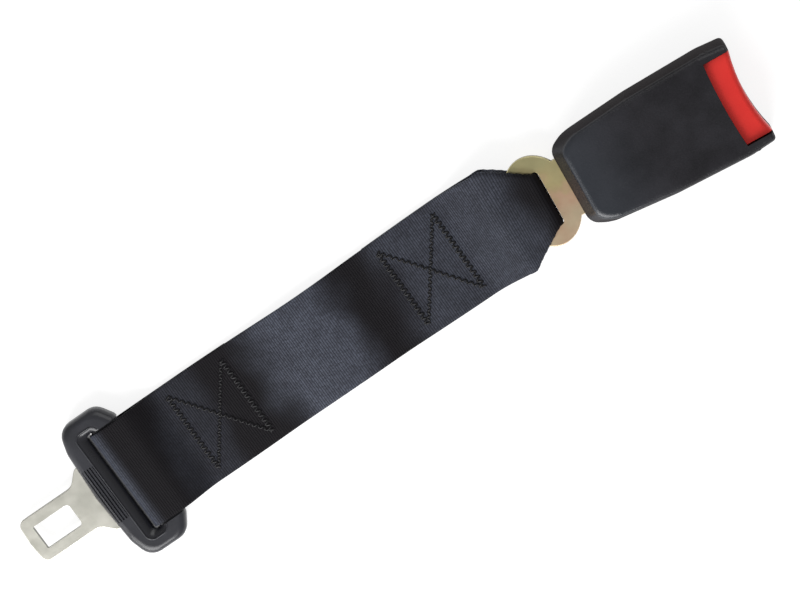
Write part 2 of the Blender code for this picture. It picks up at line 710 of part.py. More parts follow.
def button_outline(rear, half, grow=0.0, bow=EDGE_BOW):
    """The button from above: a bowed rear edge, straight sides and a dished front."""
    points = []
    for k in range(9):
        v = half * (1 - k / 4)
        points.append((HOUSING_FRONT - FRONT_DISH * (1 - (v / half) ** 2) + grow, v))
    for k in range(9):
        v = -half * (1 - k / 4)
        points.append((rear + bow * (v / half) ** 2 - bow, v))
    return points


def build_covers(hub, plastic):
    top, bottom = [], []
    split = PARTING_HEIGHT + SEAT_GAP / 2
    wall_top = HOUSING_HEIGHT - TOP_ROUND
    top.append(at(split, housing_outline()))
    top.append(at((split + wall_top) / 2, housing_outline(SIDE_DRAFT * 0.35, END_DRAFT * 0.4)))
    for k in range(5):
        angle = math.pi / 2 * k / 4
        inward = TOP_ROUND * (1 - math.cos(angle))
        top.append(at(wall_top + TOP_ROUND * math.sin(angle), housing_outline(
            SIDE_DRAFT + inward, END_DRAFT + inward, inward * 0.5
        )))
    top_cover = loft("top_cover", top, hub)
    ceiling = HOUSING_HEIGHT - HOUSING_WALL
    wall = HOUSING_WALL
    hollow = loft("top_hollow_cutter", [
        at(split - 0.001, housing_outline(wall, wall, wall)),
        at((split + ceiling) / 2, housing_outline(
            wall + SIDE_DRAFT * 0.35, wall + END_DRAFT * 0.4, wall)),
        at(ceiling, housing_outline(wall + SIDE_DRAFT, wall + END_DRAFT, wall)),
    ], hub)
    opening_rear = HOUSING_FRONT - BUTTON_SHOW
    opening = prism("button_opening_cutter", button_outline(
        opening_rear, BUTTON_HALF + SLIDE_GAP, 0.002
    ), split - 0.001, HOUSING_HEIGHT + 0.001, parent=hub)
    cut(top_cover, hollow, opening)

    split = PARTING_HEIGHT - SEAT_GAP / 2
    for k in range(5):
        angle = math.pi / 2 * (1 - k / 4)
        inward = BOTTOM_ROUND * (1 - math.cos(angle))
        bottom.append(at(BOTTOM_ROUND * (1 - math.sin(angle)), housing_outline(
            SIDE_DRAFT * 0.6 + inward, SIDE_DRAFT + inward, inward * 0.6
        )))
    bottom.append(at(split, housing_outline()))
    bottom_cover = loft("bottom_cover", bottom, hub)
    hollow = loft("bottom_hollow_cutter", [
        at(FLOOR_THICKNESS, housing_outline(
            wall + SIDE_DRAFT * 0.6, wall + SIDE_DRAFT, wall)),
        at(split + 0.001, housing_outline(wall, wall, wall)),
    ], hub)
    neck = NECK_WIDTH / 2 + SEAT_GAP
    neck_way = prism("neck_way_cutter", [
        (HOUSING_REAR - 0.002, -neck), (HOUSING_REAR + 0.006, -neck),
        (HOUSING_REAR + 0.006, neck), (HOUSING_REAR - 0.002, neck),
    ], ANCHOR_BOTTOM - SEAT_GAP, split + 0.001, parent=hub)
    mouth = prism("mouth_cutter", [
        (HOUSING_FRONT - 0.009, -MOUTH_HALF), (HOUSING_FRONT + 0.002, -MOUTH_HALF),
        (HOUSING_FRONT + 0.002, MOUTH_HALF), (HOUSING_FRONT - 0.009, MOUTH_HALF),
    ], BASE_TOP - 0.0004, split + 0.001, parent=hub)
    cut(bottom_cover, hollow, neck_way, mouth)

    # Ribs under the frame, rails under the button's arms and seats behind the springs.
    sunk = FLOOR_THICKNESS - 0.0005
    ribs = []
    for k, u in enumerate((HOUSING_REAR + 0.0095, LATCH_PIVOT - 0.001,
                           EAR_FRONT - 0.0015, CHANNEL_FRONT - 0.004)):
        half = (NECK_WIDTH if k == 0 else 2 * FLANGE_OUTER) / 2 - 0.0005
        ribs.append(prism(f"frame_rib_{k}", [
            (u, -half), (u + 0.0015, -half), (u + 0.0015, half), (u, half),
        ], sunk, BASE_BOTTOM - SEAT_GAP, parent=hub))
    for side, label in ((1, "left"), (-1, "right")):
        inner, outer = sorted((side * (ARM_INNER + 0.0003), side * (ARM_OUTER - 0.0003)))
        ribs.append(prism(f"arm_rail_{label}", [
            (ARM_REAR - BUTTON_TRAVEL, inner), (CHANNEL_FRONT - 0.002, inner),
            (CHANNEL_FRONT - 0.002, outer), (ARM_REAR - BUTTON_TRAVEL, outer),
        ], sunk, ARM_BOTTOM - SEAT_GAP, parent=hub))
        rear = ARM_REAR - SEAT_GAP - BUTTON_SPRING_LENGTH - SEAT_GAP
        inner, outer = sorted((side * ARM_INNER, side * (ARM_OUTER + 0.0004)))
        ribs.append(prism(f"spring_seat_{label}", [
            (rear - 0.0016, inner), (rear, inner), (rear, outer), (rear - 0.0016, outer),
        ], sunk, SPRING_LEVEL + BUTTON_SPRING_RADIUS + 0.0010, parent=hub))
    # Posts whose sockets take the top cover's pins.
    pins, sockets = [], []
    rear_post = (HOUSING_REAR + POST_SETBACK, NECK_WIDTH / 2 + POST_RADIUS + 0.0012)
    front_post = (CHANNEL_FRONT - POST_RADIUS - 0.001,
                  HOUSING_WIDTH / 2 - HOUSING_WALL - POST_RADIUS + 0.0005)
    for label, (u, v) in (("rear", rear_post), ("front", front_post)):
        for side, hand in ((1, "left"), (-1, "right")):
            name, centre = f"{label}_{hand}", (u, side * v)
            ribs.append(rod(f"post_{name}", POST_RADIUS, sunk, split, "Z", centre, hub, 10))
            sockets.append(rod(f"socket_{name}", PIN_RADIUS + SEAT_GAP, split - PIN_LENGTH
                               - SEAT_GAP, split + 0.001, "Z", centre, hub, 8))
            pins.append(rod(f"boss_{name}", POST_RADIUS, split + SEAT_GAP,
                            ceiling + 0.0005, "Z", centre, hub, 10))
            pins.append(rod(f"pin_{name}", PIN_RADIUS, split - PIN_LENGTH,
                            split + SEAT_GAP + 0.001, "Z", centre, hub, 8))
    add(bottom_cover, *ribs)
    cut(bottom_cover, *sockets)
    add(top_cover, *pins)
    finish(bottom_cover, plastic)
    finish(top_cover, plastic)


def build_frame(hub, steel):
    outer, t = FLANGE_OUTER, FRAME_THICKNESS
    top = BASE_TOP + FRAME_SIDE_HEIGHT
    bend = FRAME_BEND_ROUND
    profile = rounded([
        (-outer, BASE_BOTTOM, bend + t), (outer, BASE_BOTTOM, bend + t), (outer, top, 0.0),
        (outer - t, top, 0.0), (outer - t, BASE_TOP, bend), (-outer + t, BASE_TOP, bend),
        (-outer + t, top, 0.0), (-outer, top, 0.0),
    ])
    frame = prism("buckle_frame", profile, CHANNEL_REAR, CHANNEL_FRONT, "X", hub)
    half = NECK_WIDTH / 2
    tail = prism("frame_tail", rounded(rectangle(
        ANCHOR_END - NECK_INSIDE + HOUSING_WALL + 0.004, CHANNEL_REAR + 0.004, -half, half, 0.0015
    )), BASE_BOTTOM, BASE_TOP, parent=hub)
    tab_rear = ANCHOR_END + SEAT_GAP + 0.0008
    tab = prism("spring_tab", rounded([
        (-SPRING_TAB_WIDTH / 2, BASE_TOP - 0.0005, 0.0),
        (SPRING_TAB_WIDTH / 2, BASE_TOP - 0.0005, 0.0),
        (SPRING_TAB_WIDTH / 2, BASE_TOP + 0.0040, 0.0012),
        (-SPRING_TAB_WIDTH / 2, BASE_TOP + 0.0040, 0.0012),
    ]), tab_rear, tab_rear + SPRING_TAB_THICKNESS, "X", hub)
    add(frame, tail, tab)
    u = ANCHOR_END - RIVET_INSET
    holes = [
        rod(f"frame_rivet_hole_{k}", RIVET_RADIUS + PIN_GAP, BASE_BOTTOM - 0.001,
            BASE_TOP + 0.001, "Z", (u, side * RIVET_SPREAD / 2), hub)
        for k, side in enumerate((1, -1))
    ]
    holes.append(rod("pin_hole_cutter", LATCH_PIN_RADIUS + PIN_GAP, -outer - 0.001,
                     outer + 0.001, "Y", (LATCH_PIVOT, PIVOT_LEVEL), hub))
    hook = WINDOW_WIDTH / 2 - HOOK_CLEARANCE + SLIDE_GAP
    holes.append(prism("hook_slot_cutter", rounded(rectangle(
        HOOK_BACK - 0.001, HOOK_BACK + HOOK_LENGTH + 0.0012, -hook, hook, 0.001
    )), BASE_BOTTOM - 0.001, BASE_TOP + 0.001, parent=hub))
    holes.append(prism("ear_notch_cutter", rounded([
        (EAR_BACK - 0.0010, LATCH_BOTTOM - 0.0010, 0.0008),
        (EAR_FRONT + 0.0010, LATCH_BOTTOM - 0.0010, 0.0008),
        (EAR_FRONT + 0.0010, top + 0.001, 0.0), (EAR_BACK - 0.0010, top + 0.001, 0.0),
    ]), -outer - 0.001, outer + 0.001, "Y", hub))
    # The flanges slope down to pass under the button's front wall.
    low = BUTTON_BOTTOM - SEAT_GAP
    under = BUTTON_FACE - BUTTON_TRAVEL - SLIDE_GAP
    holes.append(prism("flange_slope_cutter", [
        (EAR_FRONT + 0.0025, top + 0.001), (EAR_FRONT + 0.0025, top), (under, low),
        (CHANNEL_FRONT + 0.001, low), (CHANNEL_FRONT + 0.001, top + 0.001),
    ], -outer - 0.001, outer + 0.001, "Y", hub))
    cut(frame, *holes)
    return finish(frame, steel)


def build_latch(hub, steel, spring_steel):
    knuckle = LATCH_PIN_RADIUS + PIN_GAP + KNUCKLE_WALL
    inside = CHANNEL_HALF - SLIDE_GAP
    notch = 0.0034  # half the room for the spring between the knuckles
    ear = FLANGE_OUTER + EAR_REACH
    plate = prism("latch", rounded(mirrored([
        (LATCH_PIVOT, inside - 0.0006, 0.0),
        (EAR_BACK - 0.0030, inside - 0.0006, 0.0010),
        (EAR_BACK, inside - 0.0006, 0.0), (EAR_BACK, ear, 0.0008),
        (EAR_FRONT, ear, 0.0008), (EAR_FRONT, inside - 0.0006, 0.0),
        (EAR_FRONT + 0.0006, 0.006, 0.0),
    ])), LATCH_BOTTOM, LATCH_BOTTOM + LATCH_THICKNESS, parent=hub, bevel=0.0002, segments=1)
    barrel = rod("latch_barrel", knuckle, -inside, inside, "Y",
                 (LATCH_PIVOT, PIVOT_LEVEL), hub, 24)
    half = WINDOW_WIDTH / 2 - HOOK_CLEARANCE
    low = BASE_TOP - HOOK_DEPTH
    hook = prism("latch_hook", [
        (HOOK_BACK, LATCH_BOTTOM + 0.0006), (HOOK_BACK, low),
        (HOOK_BACK + 0.0010, low),
        (HOOK_BACK + HOOK_LENGTH, LATCH_BOTTOM - 0.0008),
        (HOOK_BACK + HOOK_LENGTH, LATCH_BOTTOM + 0.0006),
    ], -half, half, "Y", hub)
    add(plate, barrel, hook)
    room = prism("latch_spring_room_cutter", rounded(rectangle(
        LATCH_PIVOT - knuckle - 0.001, LATCH_PIVOT + knuckle + 0.0016, -notch, notch, 0.0008
    )), LATCH_BOTTOM - 0.003, PIVOT_LEVEL + knuckle + 0.001, parent=hub)
    bore = rod("latch_bore_cutter", LATCH_PIN_RADIUS + PIN_GAP, -inside - 0.001,
               inside + 0.001, "Y", (LATCH_PIVOT, PIVOT_LEVEL), hub, 24)
    cut(plate, room, bore)
    finish(plate, steel, (LATCH_PIVOT, 0, PIVOT_LEVEL))

    reach = FLANGE_OUTER + ARM_GAP - SEAT_GAP
    pin = rod("latch_pin", LATCH_PIN_RADIUS, -reach, reach, "Y",
              (LATCH_PIVOT, PIVOT_LEVEL), hub, 24)
    finish(pin, spring_steel, (LATCH_PIVOT, 0, PIVOT_LEVEL))

    radius = LATCH_PIN_RADIUS + PIN_GAP + LATCH_SPRING_WIRE / 2
    width = 2 * (notch - SLIDE_GAP) - LATCH_SPRING_WIRE
    turns = LATCH_SPRING_TURNS
    points = []
    plate_top = LATCH_BOTTOM + LATCH_THICKNESS + SEAT_GAP + LATCH_SPRING_WIRE / 2
    ceiling = HOUSING_HEIGHT - HOUSING_WALL - SEAT_GAP - LATCH_SPRING_WIRE / 2
    start = math.asin(min((plate_top - PIVOT_LEVEL) / radius, 0.9))
    sweep = 2 * math.pi * (turns - 1) + start + math.pi
    steps = turns * 12
    for k in range(steps + 1):
        angle = start - sweep * k / steps
        points.append((
            LATCH_PIVOT + radius * math.cos(angle), -width / 2 + width * k / steps,
            PIVOT_LEVEL + radius * math.sin(angle),
        ))
    points.insert(0, (LATCH_PIVOT + knuckle + 0.0050, -width / 2, plate_top))
    points.append((LATCH_PIVOT - radius - 0.001, width / 2, ceiling - 0.001))
    points.append((LATCH_PIVOT - radius + 0.001, width / 2, ceiling))
    points.append((LATCH_PIVOT + 0.0020, width / 2, ceiling))
    return finish(wire("latch_spring", points, LATCH_SPRING_WIRE / 2, hub), spring_steel)


def build_button(hub, red):
    half = BUTTON_HALF
    rear = HOUSING_FRONT - BUTTON_SHOW - BUTTON_LAP
    button = prism("press_button", button_outline(rear, half), BUTTON_BOTTOM, BUTTON_TOP,
                   parent=hub)
    bm = bmesh.new()
    bm.from_mesh(button.data)
    rims = [
        e for e in bm.edges
        if all(v.co.z > BUTTON_TOP - 1e-6 for v in e.verts)
        and all(v.co.x > HOUSING_FRONT - FRONT_DISH - 1e-4 for v in e.verts)
        and len(e.link_faces) == 2
    ]
    bmesh.ops.bevel(bm, geom=rims, offset=BUTTON_LIP_ROUND, segments=4, profile=0.5,
                    affect="EDGES")
    bm.to_mesh(button.data)
    bm.free()
    inner = ARM_OUTER - BUTTON_WALL
    hollow = prism("button_hollow_cutter", [
        (rear - 0.003, -inner), (rear - 0.003, inner),
        (BUTTON_FACE, inner), (BUTTON_FACE, -inner),
    ], BUTTON_BOTTOM - 0.001, BUTTON_TOP - BUTTON_WALL, parent=hub)
    cut(button, hollow)

    # Each arm's ramp stays just under the latch's ear while the button goes in.
    ear_run = EAR_FRONT - LATCH_PIVOT
    ear_drop = LATCH_BOTTOM - PIVOT_LEVEL
    rise = ear_run * math.sin(LATCH_LIFT) + ear_drop * (math.cos(LATCH_LIFT) - 1)
    shift = ear_run * (math.cos(LATCH_LIFT) - 1) - ear_drop * math.sin(LATCH_LIFT)
    slope = rise / (BUTTON_TRAVEL + shift)
    drop = RAMP_GAP * math.sqrt(1 + slope * slope)
    foot = LATCH_BOTTOM - drop

    def ramp(u):
        return foot + slope * (u - EAR_FRONT)

    valley = EAR_BACK - 0.0002
    crest = EAR_FRONT + BUTTON_TRAVEL + 0.0002
    tail_top = SPRING_LEVEL + BUTTON_SPRING_RADIUS + 0.0004
    front = HOUSING_FRONT - FRONT_DISH - HOUSING_WALL - 0.0014
    profile = [
        (ARM_REAR, ARM_BOTTOM), (front, ARM_BOTTOM),
        (front, ramp(crest)), (crest, ramp(crest)), (valley, ramp(valley)),
        (EAR_BACK - 0.0014, ramp(valley)), (EAR_BACK - 0.0014, tail_top),
        (ARM_REAR, tail_top),
    ]
    for side, label in ((1, "left"), (-1, "right")):
        low, high = sorted((side * ARM_INNER, side * ARM_OUTER))
        arm = prism(f"button_arm_{label}", profile, low, high, "Y", hub)
        peg = rod(f"button_peg_{label}", BUTTON_SPRING_RADIUS - BUTTON_SPRING_WIRE
                  - PIN_GAP * 1.5, ARM_REAR - PEG_LENGTH, ARM_REAR + 0.001, "X",
                  (side * (ARM_INNER + ARM_OUTER) / 2, SPRING_LEVEL), hub, 12)
        add(button, arm, peg)
    return finish(button, red, (HOUSING_FRONT, 0, BUTTON_TOP))


def coil(name, start, end, radius, wire_size, turns, centre, hub, look):
    """A compression spring along U with closed ends."""
    points = []
    steps = turns * 10
    low, high = start + wire_size / 2, end - wire_size / 2
    for k in range(steps + 1):
        share = k / steps
        angle = 2 * math.pi * turns * share
        points.append((
            low + (high - low) * share,
            centre[0] + (radius - wire_size / 2) * math.cos(angle),
            centre[1] + (radius - wire_size / 2) * math.sin(angle),
        ))
    return finish(wire(name, points, wire_size / 2, hub), look)


def build_springs(hub, spring_steel, plastic):
    front = HOOK_BACK - 0.0006
    rear = front - EJECTOR_LENGTH
    half = CHANNEL_HALF - FRAME_BEND_ROUND * 0.4 - SLIDE_GAP
    low = BASE_TOP + SEAT_GAP
    level = low + EJECTOR_SPRING_RADIUS + 0.0002
    heel_top = level + EJECTOR_SPRING_RADIUS + 0.0002
    ejector = prism("ejector", [
        (rear, low), (front, low), (front, low + EJECTOR_HEIGHT),
        (rear + EJECTOR_HEEL, low + EJECTOR_HEIGHT), (rear + EJECTOR_HEEL, heel_top),
        (rear, heel_top),
    ], -half, half, "Y", hub)
    finish(ejector, plastic, (rear, 0, low))
    tab = ANCHOR_END + SEAT_GAP + 0.0008 + SPRING_TAB_THICKNESS
    coil("ejector_spring", tab + SEAT_GAP, rear - SEAT_GAP, EJECTOR_SPRING_RADIUS,
         EJECTOR_SPRING_WIRE, EJECTOR_SPRING_TURNS, (0, level), hub, spring_steel)
    for side, label in ((1, "left"), (-1, "right")):
        coil(f"button_spring_{label}", ARM_REAR - SEAT_GAP - BUTTON_SPRING_LENGTH,
             ARM_REAR - SEAT_GAP, BUTTON_SPRING_RADIUS, BUTTON_SPRING_WIRE,
             BUTTON_SPRING_TURNS, (side * (ARM_INNER + ARM_OUTER) / 2, SPRING_LEVEL),
             hub, spring_steel)


def main():
    for old in list(bpy.data.objects):
        bpy.data.objects.remove(old, do_unlink=True)
    webbing = material("black webbing", (0.018, 0.019, 0.022), 0.75)
    nickel = material("nickel steel", (0.62, 0.58, 0.52), 0.38, 1.0)
    charcoal = material("charcoal plastic", (0.035, 0.037, 0.040), 0.55)
    zinc = material("yellow zinc", (0.60, 0.47, 0.20), 0.35, 1.0)
    slate = material("slate plastic", (0.055, 0.060, 0.068), 0.60)
    pressed = material("bare steel", (0.50, 0.50, 0.50), 0.40, 1.0)
    sprung = material("spring steel", (0.35, 0.35, 0.37), 0.30, 1.0)
    natural = material("white plastic", (0.70, 0.69, 0.65), 0.50)
    red = material("red plastic", (0.62, 0.045, 0.035), 0.42)

    build_strap(webbing)
    build_tongue(nickel, charcoal)
    place = swung(ANCHOR_FOLD, 0.0)
    hub = empty("buckle_hub", (place[0], place[1], 0.0), BUCKLE_SWING)
    build_anchor(hub, zinc, pressed)
    build_covers(hub, slate)
    build_frame(hub, pressed)
    build_latch(hub, pressed, sprung)
    build_button(hub, red)
    build_springs(hub, sprung, natural)
    bpy.context.view_layer.update()


main()
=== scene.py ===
# %% [markdown]
# # Seat belt extender
# A short belt that lengthens a car's own one. A steel tongue at one end clicks into the car's
# buckle, and a push-button buckle at the other takes the car's tongue. Between them is one layer
# of black webbing, looped round a bar at each end and sewn.
#
# This notebook dresses a solid model that is already packed. It loads the solids as a fixed
# frame, so every new piece is made in metres in the same place and is fitted to nothing by eye.
# X runs along the strap from the tongue to the buckle, Y across it and Z up.

# %% The frame
import json
import math

import bmesh
import bpy
import numpy as np
from mathutils import Matrix, Vector
from mathutils.bvhtree import BVHTree


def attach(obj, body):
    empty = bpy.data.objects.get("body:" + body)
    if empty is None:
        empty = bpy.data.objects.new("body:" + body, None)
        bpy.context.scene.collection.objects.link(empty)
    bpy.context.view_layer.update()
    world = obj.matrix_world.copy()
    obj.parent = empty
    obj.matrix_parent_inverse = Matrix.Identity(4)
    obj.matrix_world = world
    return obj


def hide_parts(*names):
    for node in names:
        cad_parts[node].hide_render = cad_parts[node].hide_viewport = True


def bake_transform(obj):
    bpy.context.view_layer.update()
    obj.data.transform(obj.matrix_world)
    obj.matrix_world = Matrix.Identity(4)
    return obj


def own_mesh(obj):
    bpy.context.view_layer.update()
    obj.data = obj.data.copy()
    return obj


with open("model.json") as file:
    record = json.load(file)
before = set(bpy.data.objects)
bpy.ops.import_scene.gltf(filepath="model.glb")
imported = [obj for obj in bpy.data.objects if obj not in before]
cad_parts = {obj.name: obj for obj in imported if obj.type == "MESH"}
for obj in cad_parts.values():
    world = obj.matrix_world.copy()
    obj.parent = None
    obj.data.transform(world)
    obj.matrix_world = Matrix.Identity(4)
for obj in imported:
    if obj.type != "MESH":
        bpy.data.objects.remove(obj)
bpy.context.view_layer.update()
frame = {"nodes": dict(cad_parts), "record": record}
MM = 0.001
print("solids:", ", ".join(sorted(frame["nodes"])))

# %% [markdown]
# ## A small language for finishes
# A material is a tree of nodes. Wiring it by hand takes four lines for every sum, so a socket is
# wrapped in a class that knows `+`, `*` and the rest: an expression such as `1 - rib * 0.4` adds
# its own Math nodes.

# %% Fields
class Field:
    """A number that varies over a surface: a socket with Python's operators."""

    def __init__(self, finish, socket):
        self.finish, self.socket = finish, socket

    def math(self, operation, *others):
        return self.finish.node("Math", dict(enumerate((self, *others))), operation=operation)

    def __add__(self, other):
        return self.math("ADD", other)

    def __sub__(self, other):
        return self.math("SUBTRACT", other)

    def __rsub__(self, other):
        return self.finish.node("Math", {0: other, 1: self}, operation="SUBTRACT")

    def __mul__(self, other):
        return self.math("MULTIPLY", other)

    def __truediv__(self, other):
        return self.math("DIVIDE", other)

    def __pow__(self, other):
        return self.math("POWER", other)

    def __abs__(self):
        return self.math("ABSOLUTE")

    __radd__, __rmul__ = __add__, __mul__

    def over(self, least):
        """The greater of the two."""
        return self.math("MAXIMUM", least)

    def wave(self):
        """The sine of it."""
        return self.math("SINE")

    def floor(self):
        return self.math("FLOOR")

    def between(self, low, high, start=0.0, end=1.0):
        """Eased from start to end while this goes from low to high."""
        return self.finish.node(
            "MapRange", {0: self, 1: low, 2: high, 3: start, 4: end},
            interpolation_type="SMOOTHSTEP",
        )


print("a field knows", ", ".join(n for n in vars(Field) if not n.startswith("__")))

# %% [markdown]
# ## Finishes
# A finish is one material and the methods that build it. Every pattern is placed by where a point
# is on the object, or on the flat webbing, so it has a real size. Colours are mixed by a Mix node,
# because Math nodes turn them grey.

# %% Finishes
class Finish:
    """A material with the methods that build it."""

    def __init__(self, slot):
        self.slot = slot
        self.material = bpy.data.materials.new(slot + "_finish")
        self.material.use_nodes = True
        self.tree = self.material.node_tree
        self.shader = self.tree.nodes["Principled BSDF"]

    def node(self, kind, values, output=0, stops=None, **settings):
        """Any node: its settings first, then the values or links of its sockets."""
        made = self.tree.nodes.new("ShaderNode" + kind)
        for key, value in settings.items():
            setattr(made, key, value)
        if stops:
            ramp = made.color_ramp.elements
            while len(ramp) < len(stops):
                ramp.new(0.5)
            for element, (place, code) in zip(ramp, stops):
                element.position, element.color = place, (*colour(code), 1)
        for key, value in values.items():
            self.feed(made.inputs[key], value)
        return Field(self, made.outputs[output])

    def feed(self, socket, value):
        if isinstance(value, Field):
            self.tree.links.new(value.socket, socket)
        else:
            socket.default_value = value

    def mixed(self, first, second, share):
        """A colour between two, each of them a field or a screen colour."""
        colours = [c if isinstance(c, Field) else (*colour(c), 1) for c in (first, second)]
        return self.node("Mix", {0: share, 6: colours[0], 7: colours[1]}, 2, data_type="RGBA")

    def place(self):
        """Where a point is on the object, in metres."""
        return self.node("TexCoord", {}, "Object")

    def part(self, vector, axis):
        """One number of a vector: 0, 1 or 2 for X, Y or Z."""
        return self.node("SeparateXYZ", {0: vector}, axis)

    def steepness(self):
        """1 on an upright wall, 0 on a level face."""
        return 1 - abs(self.part(self.node("TexCoord", {}, "Normal"), 2))

    def noise(self, size, detail=2.0, rough=0.5, stretch=(1, 1, 1)):
        """Cloudy noise whose spots are about that size, in metres."""
        scaled = self.node("Mapping", {
            "Vector": self.place(), "Scale": [1 / size * s for s in stretch]})
        return self.node("TexNoise", {
            "Vector": scaled, "Scale": 1.0, "Detail": detail, "Roughness": rough})

    def bump(self, height, depth, strength=1.0):
        """Feeds the shader's normal with a relief of that depth, in metres."""
        normal = self.node("Bump", {"Height": height, "Distance": depth, "Strength": strength})
        self.feed(self.shader.inputs["Normal"], normal)

    def set(self, **values):
        """The shader's own sockets, by name with _ for each space."""
        for key, value in values.items():
            self.feed(self.shader.inputs[key.replace("_", " ")], value)
        return self

    def elsewhere(self, share, base, roughness):
        """A second surface without gloss, where share is 1."""
        dull = self.tree.nodes.new("ShaderNodeBsdfPrincipled")
        dull.inputs["Base Color"].default_value = (*colour(base), 1)
        dull.inputs["Roughness"].default_value = roughness
        dull.inputs["Specular IOR Level"].default_value = 0.0
        both = self.tree.nodes.new("ShaderNodeMixShader")
        self.feed(both.inputs[0], share)
        self.tree.links.new(self.shader.outputs[0], both.inputs[1])
        self.tree.links.new(dull.outputs[0], both.inputs[2])
        self.tree.links.new(both.outputs[0], self.tree.nodes["Material Output"].inputs["Surface"])


def colour(code):
    """A screen colour such as 'cf3030' as the linear numbers that a shader takes."""
    parts = [int(code[i:i + 2], 16) / 255 for i in (0, 2, 4)]
    return tuple(c / 12.92 if c <= 0.04045 else ((c + 0.055) / 1.055) ** 2.4 for c in parts)


print("a red button in linear colour:", [round(c, 3) for c in colour("d8322e")])

# %% [markdown]
# ## Moulded plastic
# Inside the rim of the tongue's slot that noise is lowered, so the cover is painted darker there,
# as painted shade.
# The tongue's cover and the buckle's housing are moulded nylon. A mould is spark-eroded to a fine
# grain, which breaks the reflection up and makes black plastic look slate grey. The grain is a
# noise about a quarter of a millimetre across, in the bump and a little in the roughness. A
# second, broader noise stands for handling: skin oil here, dust there.
#
# The housing's upright walls are painted nearly black, as painted shade, and have a second surface
# without gloss. Its top is painted paler towards the strap, as painted light.

# %% Plastics
RIM_MIDDLE, RIM_HALF, RIM_SIDE, RIM_ROUND = 9.6 * MM, 5.4 * MM, 27.9 * MM, 3.6 * MM
RIM_SHADE_FADE, RIM_SHADE_SHARE = 0.6 * MM, 0.7
HANDLING = 14 * MM
# The painted shade on the housing's walls and the painted light on its top.
WALL_SHADE_PAINT, DULL_WALL_SHADE, WALL_ROUGHNESS = "0a090a", "1c1719", 0.7
TOP_LIGHT_PAINT, TOP_LIGHT_FROM, TOP_LIGHT_TO, TOP_LIGHT_SHARE = "3d434b", 282 * MM, 236 * MM, 0.42


def slot_rim(finish):
    """How far a point is outside the rounded rim of the tongue's slot, seen from above."""
    x, y = (finish.part(finish.place(), axis) for axis in (0, 1))
    beyond = [(abs(p - middle) - (half - RIM_ROUND)).over(0.0)
              for p, middle, half in ((x, RIM_MIDDLE, RIM_HALF), (y, 0.0, RIM_SIDE))]
    return (beyond[0] ** 2.0 + beyond[1] ** 2.0) ** 0.5 - RIM_ROUND


def moulded(name, dark, pale, roughness, gloss, grain=0.28 * MM, depth=0.02 * MM, rim=False,
            walls=0.0):
    """Grained plastic. Rim paints it darker inside the slot's rim, as painted shade. Walls paints
    its upright sides darker, as painted shade, takes their gloss away, and paints the top paler
    towards the strap, as painted light.
    """
    finish = Finish(name)
    fine = finish.noise(grain, 3.0)
    handling_and_shade = finish.noise(HANDLING, 3.0)
    if rim:
        # Painted shade: darker inside the rim of the tongue's slot.
        handling_and_shade = handling_and_shade - slot_rim(finish).between(-RIM_SHADE_FADE, 0.0, RIM_SHADE_SHARE, 0.0)
    finish.bump(fine, depth)
    base = finish.mixed(dark, pale, handling_and_shade.between(0.2, 0.8) * 0.5 + fine * 0.5)
    if walls:
        steep = finish.steepness()
        # Painted shade: the upright walls darker, with a surface without gloss.
        base = finish.mixed(base, WALL_SHADE_PAINT, steep.between(0.4, 1.0) * walls)
        finish.elsewhere(steep.between(0.30, 0.75) * walls, DULL_WALL_SHADE, WALL_ROUGHNESS)
        # Painted light: the top paler towards the strap.
        painted_light_to_strap = finish.part(finish.place(), 0).between(TOP_LIGHT_FROM, TOP_LIGHT_TO)
        base = finish.mixed(base, TOP_LIGHT_PAINT, painted_light_to_strap * TOP_LIGHT_SHARE)
    return finish.set(
        Base_Color=base,
        Roughness=roughness + (handling_and_shade - 0.5) * 0.12 + (fine - 0.5) * 0.10,
        Specular_IOR_Level=gloss,
    )


charcoal = moulded("charcoal_plastic", "1a1a1d", "33343a", 0.33, 0.42, rim=True)
# walls=0.85 paints shade on the housing's walls and light on its top.
slate = moulded("slate_plastic", "070609", "28272c", 0.31, 0.38, 0.60 * MM, 0.08 * MM, walls=0.85)
red = moulded("red_plastic", "ce2b27", "dc352e", 0.36, 0.30, 0.5 * MM, 0.006 * MM)
natural = moulded("natural_plastic", "d8d4c6", "e4e1d6", 0.45, 0.4)
print("plastics:", ", ".join(f.slot for f in (charcoal, slate, red, natural)))

# %% [markdown]
# ## Plated steel
# The tongue is blanked from sheet, tumbled and satin nickel plated, so it is warm grey with a soft
# reflection and a few fine scratches along its length. The anchor plate is zinc plated and passed
# through a yellow chromate bath, whose film is thinner than a wavelength of light: it shows olive,
# gold and rose in clouds. On both, the walls that the punch left are painted darker, as painted
# shade.

# %% Metals
CLOUDS, SCRATCHES, SCRATCH_DEPTH = 9 * MM, 1.6 * MM, 0.008 * MM
FILM_SPOTS, FILM_FROM, FILM_TO = 11 * MM, 14 * MM, -16 * MM


def clouded(dark, pale):
    """A way to colour a metal: in clouds between two colours."""
    return lambda finish, clouds: finish.mixed(dark, pale, clouds.between(0.3, 0.7))


def chromated(finish, _):
    """A way to colour a metal: by the thickness of its film, which grows across the plate."""
    across = finish.part(finish.place(), 1).between(FILM_FROM, FILM_TO)
    film = finish.noise(FILM_SPOTS, 2.0) * 0.7 + across * 0.5 - 0.1
    return finish.node("ValToRGB", {0: film}, stops=[
        (0.25, "cdc494"), (0.42, "d4c492"), (0.58, "e4bfa0"), (0.80, "e8d4b2")])


